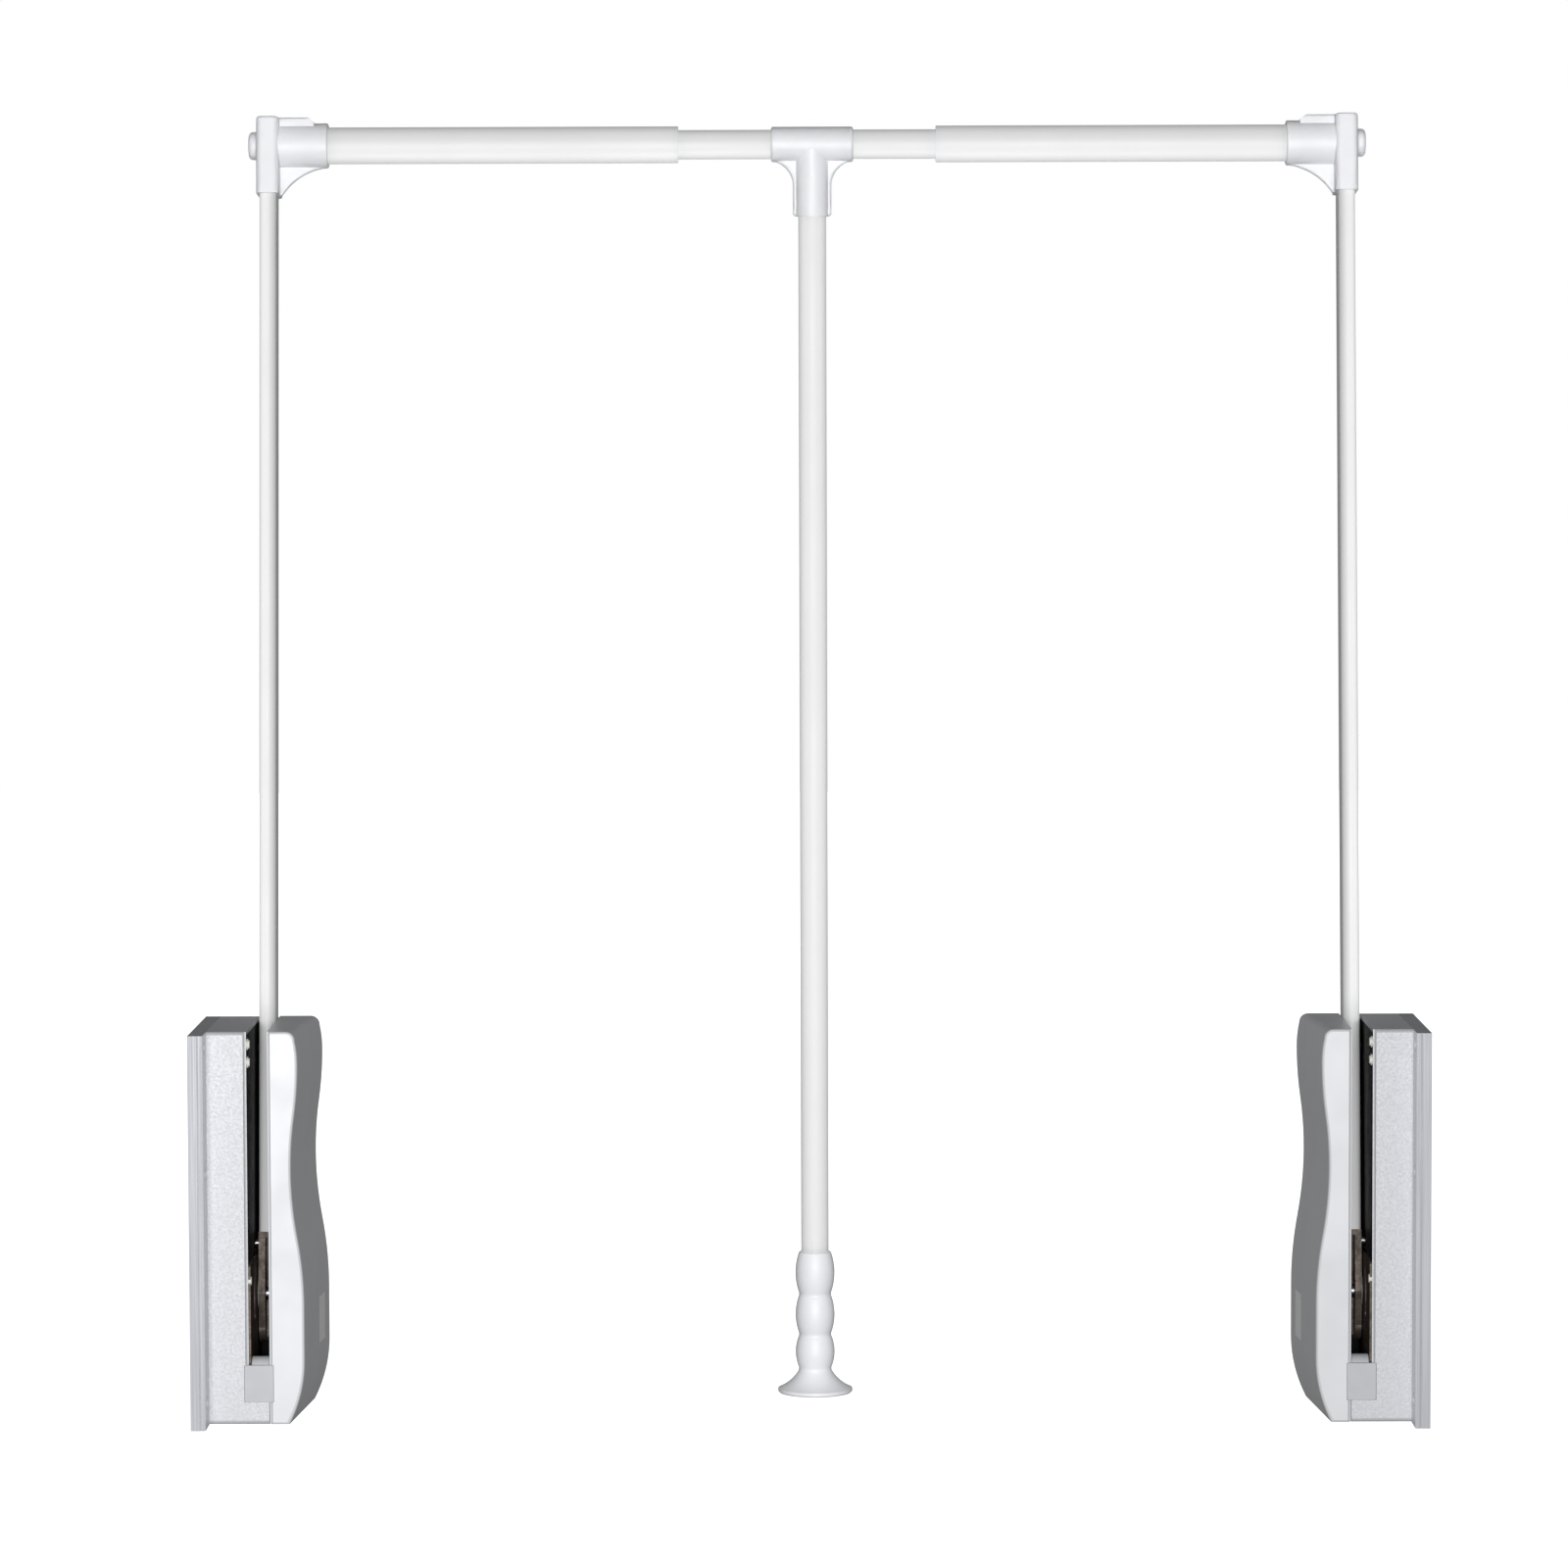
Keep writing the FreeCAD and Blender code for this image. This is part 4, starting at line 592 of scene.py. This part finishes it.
class CLOSETROD_OT_lift_springs(bpy.types.Operator):
    """Add the two lift springs: coiled wire with a hook on the crank pin and one on the anchor"""

    bl_idname = "closetrod.lift_springs"
    bl_label = "Add lift springs"

    def execute(self, context):
        for side in SIDES:
            self.spring(context, side)
        return {"FINISHED"}

    def spring(self, context, side):
        sizes = context.scene.closet_rod_sizes
        low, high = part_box(f"{side}_lift_spring")
        pin_low, pin_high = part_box(f"{side}_crank_pin")
        post_low, post_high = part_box(f"{side}_spring_anchor")
        x, y = (low.x + high.x) / 2, (low.y + high.y) / 2
        pin, post = (pin_low.z + pin_high.z) / 2, (post_low.z + post_high.z) / 2
        middle = (pin + post) / 2
        coil, hook, wire = sizes.coil, sizes.hook, sizes.wire
        reach = coil - hook
        end = pin + 2 * hook
        centre = pin + hook - wire / 2 - HOOK_BELOW
        deselect()
        bpy.ops.mesh.primitive_circle_add(
            vertices=WIRE_SIDES, radius=wire / 2, fill_type="NGON", location=(x, y, middle),
            rotation=(math.pi / 2, 0, 0))
        item = context.object
        bpy.ops.object.transform_apply(location=False, rotation=True, scale=False)
        bpy.ops.object.mode_set(mode="EDIT")
        bpy.ops.transform.translate(value=(coil, 0, 0))
        bpy.ops.mesh.select_all(action="SELECT")
        bpy.ops.mesh.delete(type="ONLY_FACE")
        bpy.ops.object.mode_set(mode="OBJECT")
        screw = item.modifiers.new("Coil", "SCREW")
        screw.axis, screw.angle, screw.iterations = "Z", math.tau, sizes.turns
        screw.screw_offset = (end - middle) / sizes.turns
        screw.steps = screw.render_steps = TURN_STEPS
        screw.use_merge_vertices = False
        apply_modifiers(item)
        bpy.ops.object.mode_set(mode="EDIT")
        lowest = end - middle
        select_edges(lambda edge: edge.is_boundary and all(
            abs(vert.co.z - lowest) < wire and abs(vert.co.y) < 1e-5 for vert in edge.verts))
        bpy.ops.mesh.edge_face_add()
        # the last quarter turn draws in, then the wire bends down and loops round the pin
        quarter = {"steps": TURN_STEPS // 4, "angle": math.pi / 2}
        drop = end - reach
        bpy.ops.mesh.spin(center=(x + reach, y, end), axis=(0, 0, 1), **quarter)
        bpy.ops.mesh.spin(center=(x + reach, y + hook, drop), axis=(0, 1, 0), **quarter)
        bpy.ops.mesh.extrude_region_move(
            TRANSFORM_OT_translate={"value": (0, 0, centre - drop)})
        bpy.ops.mesh.spin(
            steps=HOOK_STEPS, angle=math.radians(HOOK_TURN), center=(x, y, centre), axis=(1, 0, 0))
        bpy.ops.mesh.select_all(action="SELECT")
        bpy.ops.mesh.duplicate()
        bpy.ops.transform.rotate(value=math.pi, orient_axis="X", center_override=(x, y, middle))
        bpy.ops.mesh.select_all(action="SELECT")
        bpy.ops.mesh.remove_doubles(threshold=0.02 * MM)
        bpy.ops.mesh.normals_make_consistent(inside=False)
        bpy.ops.object.mode_set(mode="OBJECT")
        bpy.ops.object.shade_smooth_by_angle(angle=math.radians(50))
        finish_piece(item, f"{side}_coil_spring", f"{side}_housing",
                     finish_once(oiled_spring_steel))
        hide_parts(f"{side}_lift_spring")


class CLOSETROD_OT_studio(bpy.types.Operator):
    """Set up the floor, the lights and the camera"""

    bl_idname = "closetrod.studio"
    bl_label = "Set up studio"

    def execute(self, context):
        studio = context.scene.closet_rod_studio
        context.scene.view_settings.view_transform = "Standard"
        self.floor(context, studio)
        self.lights(context, studio)
        self.camera(context)
        return {"FINISHED"}

    def floor(self, context, studio):
        deselect()
        bpy.ops.mesh.primitive_plane_add(
            size=40, location=(MIDDLE, 4, CAD_BOX[0].z - FLOOR_DROP))
        floor = context.object
        floor.name = "studio_floor"
        bpy.ops.object.transform_apply(location=True, rotation=True, scale=True)
        made, tree, bsdf, coords = new_material("Plain matt floor", {
            "Roughness": 0.9, "IOR": 1.45,
        })
        base = hex_of(studio.floor)
        colour(tree, bsdf, noise(tree, coords, 900, 2.0), base, shade(base, 0.99))
        floor.data.materials.append(made)
        floor.visible_diffuse = floor.visible_glossy = floor.visible_shadow = False
        bpy.ops.object.light_add(type="SUN", location=(0.4, 0, 3))
        lamp = context.object
        lamp.name = "floor_light"
        lamp.data.energy = 4
        lamp.data.use_shadow = False
        lamp.light_linking.receiver_collection = self.reached("Floor", [floor])

    def reached(self, name, items):
        """A collection of the objects that a light reaches."""
        made = bpy.data.collections.new(f"{name} light reaches")
        for item in items:
            made.objects.link(item)
        return made

    def reached_nodes(self, name, nodes):
        """The same, of CAD nodes given by name."""
        return self.reached(name, [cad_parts[node] for node in nodes])

    def softbox(self, context, name, place, size, power, receivers):
        """A rectangular softbox that faces the closet rod."""
        way = (AIM - Vector(place)).to_track_quat("-Z", "Y").to_euler()
        bpy.ops.object.light_add(type="AREA", location=place, rotation=way)
        lamp = context.object
        lamp.name = name
        lamp.data.shape = "RECTANGLE"
        lamp.data.size, lamp.data.size_y = size
        lamp.data.energy = power
        lamp.visible_camera = False
        lamp.light_linking.receiver_collection = receivers

    def distant(self, context, name, way, strength, receivers):
        """Level light from far off, without glare on top faces that are seen at a grazing angle."""
        turn = Vector(way).to_track_quat("-Z", "Y").to_euler()
        bpy.ops.object.light_add(type="SUN", location=(MIDDLE, 0, 3), rotation=turn)
        lamp = context.object
        lamp.name = name
        lamp.data.energy, lamp.data.angle = strength, math.radians(2)
        lamp.visible_glossy = False
        lamp.light_linking.receiver_collection = receivers

    def lights(self, context, studio):
        """Softboxes before and beside the closet rod, each for its own pieces, and level light."""
        tent, key, back = studio.tent, studio.key, studio.back
        tubes = ["inner_rail_tube", "pole"] + each_side("outer_rail_tube", "rail_bush")
        mouldings = ["rail_end_guides", "t_connector"]
        mouldings += each_side("corner_connector", "connector_knob")
        grip = ["grip", "grip_cap"]
        arms = each_side("arm_tube")
        tube_set = self.reached_nodes("Tube", tubes)
        moulding_set = self.reached_nodes("Moulding", mouldings)
        grip_set = self.reached_nodes("Grip", grip)
        front_set = self.reached_nodes("Front", tubes + mouldings + grip)
        before = (MIDDLE, *FRONT)
        self.softbox(context, "rail_front", before, (2.2, 2.0), tent * 1.4, front_set)
        # the tubes stay evenly bright to their rims, the mouldings darken there
        self.softbox(context, "low_fill", (MIDDLE, -1.2, -3.2), (2.0, 2.0), tent * 1.1, tube_set)
        self.softbox(context, "high_fill", (MIDDLE, -1.2, 3.6), (2.0, 2.0), tent * 0.35, tube_set)
        self.softbox(context, "wide_front", before, (3.2, 2.4), tent * 1.7, moulding_set)
        self.softbox(context, "grip_front", before, (3.2, 2.4), tent * 1.25, grip_set)
        self.softbox(context, "grip_high", (MIDDLE, -2.6, 2.6), (1.6, 1.2), tent * 0.55, grip_set)
        # both housings' front boxes stand left of the middle, and the right one's is dimmer
        fronts = (("left", -1, 1.0, -0.072), ("right", 1, 0.86, -0.228))
        for side, sign, brightness, shift in fronts:
            arm, plate, casing = (
                f"{side}_{piece}" for piece in ("arm_tube", "wall_plate", "casing"))
            # the arm is lit into its slot from the front, and from outside and inside
            arm_set = self.reached_nodes(f"{side} arm", [arm])
            side_set = self.reached_nodes(f"{side} side", tubes + [arm])
            self.softbox(context, f"{side}_strip", (MIDDLE + sign * 0.21, *FRONT), (1.2, 2.4),
                         tent * 2.0, arm_set)
            self.softbox(context, f"{side}_side", (MIDDLE + sign * 2.012, -0.7, 0.3), (2.0, 2.0),
                         tent * 0.32, side_set)
            self.softbox(context, f"{side}_inner", (MIDDLE - sign * 1.6, -2.2, 0.3), (1.6, 2.0),
                         tent * 0.2, arm_set)
            # the wall plate and the casing are lit from behind and outside, and the plate's
            # inner rim from across
            outer_set = self.reached_nodes(f"{side} outer", [plate, casing])
            self.distant(context, f"{side}_outer", (-sign, -1, 0), back * 1.4, outer_set)
            plate_set = self.reached_nodes(f"{side} plate", [plate])
            self.softbox(context, f"{side}_return", (MIDDLE - sign * 2.4, -1.2, 0.3), (1.6, 2.0),
                         tent * 1.15, plate_set)
            grey_set = self.reached(f"{side} grey", [
                item for item in context.scene.objects
                if item.type == "MESH" and item.name.startswith(side)
                and item.name not in tubes + mouldings + arms])
            self.softbox(context, f"{side}_front", (MIDDLE + shift, -4.3, 0.35), (1.9, 1.4),
                         key * brightness, grey_set)
        # all other pieces are lit from straight behind, which the front doesn't see
        others = ["studio_floor"] + each_side("wall_plate", "casing")
        self.distant(context, "rear_light", (0, -1, 0), back, self.reached("Rear", [
            item for item in context.scene.objects
            if item.type == "MESH" and item.name not in others]))
        self.room(context, studio)

    def room(self, context, studio):
        """A dim white room that the camera sees as white paper."""
        world = bpy.data.worlds.new("Studio room")
        context.scene.world = world
        world.use_nodes = True
        tree = world.node_tree
        tree.nodes.clear()
        white = linear("#FFFFFF")
        dim = add_node(tree, "ShaderNodeBackground", {"Color": white, "Strength": studio.ambient})
        paper = add_node(tree, "ShaderNodeBackground", {"Color": white, "Strength": 1.0})
        seen = add_node(tree, "ShaderNodeLightPath").outputs["Is Camera Ray"]
        mixed = add_node(tree, "ShaderNodeMixShader", {
            0: seen, 1: dim.outputs[0], 2: paper.outputs[0],
        })
        add_node(tree, "ShaderNodeOutputWorld", {"Surface": mixed.outputs[0]})

    def camera(self, context):
        turn = (Matrix.Rotation(math.radians(CAMERA_TURN), 3, "Z")
                @ Matrix.Rotation(math.radians(90 - CAMERA_PITCH), 3, "X")
                @ Matrix.Rotation(math.radians(CAMERA_ROLL), 3, "Z"))
        bpy.ops.object.camera_add(location=CAMERA_PLACE, rotation=turn.to_euler())
        camera = context.object
        camera.name = "studio_camera"
        camera.data.lens = CAMERA_LENS
        camera.data.sensor_width = CAMERA_SENSOR
        camera.data.clip_end = 60
        context.scene.camera = camera


class CLOSETROD_PT_panel(bpy.types.Panel):
    """Sidebar panel of the closet rod"""

    bl_label = "Closet Rod"
    bl_idname = "CLOSETROD_PT_panel"
    bl_space_type = "VIEW_3D"
    bl_region_type = "UI"
    bl_category = "Closet Rod"

    def draw(self, context):
        for group in (context.scene.closet_rod_colours, context.scene.closet_rod_sizes,
                      context.scene.closet_rod_studio):
            box = self.layout.box()
            for name in group.__annotations__:
                box.prop(group, name)
        for operator in OPERATORS:
            self.layout.operator(operator.bl_idname)


OPERATORS = (
    CLOSETROD_OT_housings, CLOSETROD_OT_dampers, CLOSETROD_OT_arms, CLOSETROD_OT_rail,
    CLOSETROD_OT_pull_pole, CLOSETROD_OT_rest_buffers, CLOSETROD_OT_lift_springs,
    CLOSETROD_OT_studio,
)
CLASSES = (ClosetRodColours, ClosetRodSizes, ClosetRodStudio) + OPERATORS + (CLOSETROD_PT_panel,)


def register():
    for made in CLASSES:
        bpy.utils.register_class(made)
    bpy.types.Scene.closet_rod_colours = bpy.props.PointerProperty(type=ClosetRodColours)
    bpy.types.Scene.closet_rod_sizes = bpy.props.PointerProperty(type=ClosetRodSizes)
    bpy.types.Scene.closet_rod_studio = bpy.props.PointerProperty(type=ClosetRodStudio)


def unregister():
    del bpy.types.Scene.closet_rod_studio
    del bpy.types.Scene.closet_rod_sizes
    del bpy.types.Scene.closet_rod_colours
    for made in reversed(CLASSES):
        bpy.utils.unregister_class(made)


def main():
    register()
    bpy.ops.closetrod.housings()
    bpy.ops.closetrod.dampers()
    bpy.ops.closetrod.arms()
    bpy.ops.closetrod.rail()
    bpy.ops.closetrod.pull_pole()
    bpy.ops.closetrod.rest_buffers()
    bpy.ops.closetrod.lift_springs()
    bpy.ops.closetrod.studio()


if __name__ == "__main__":
    main()
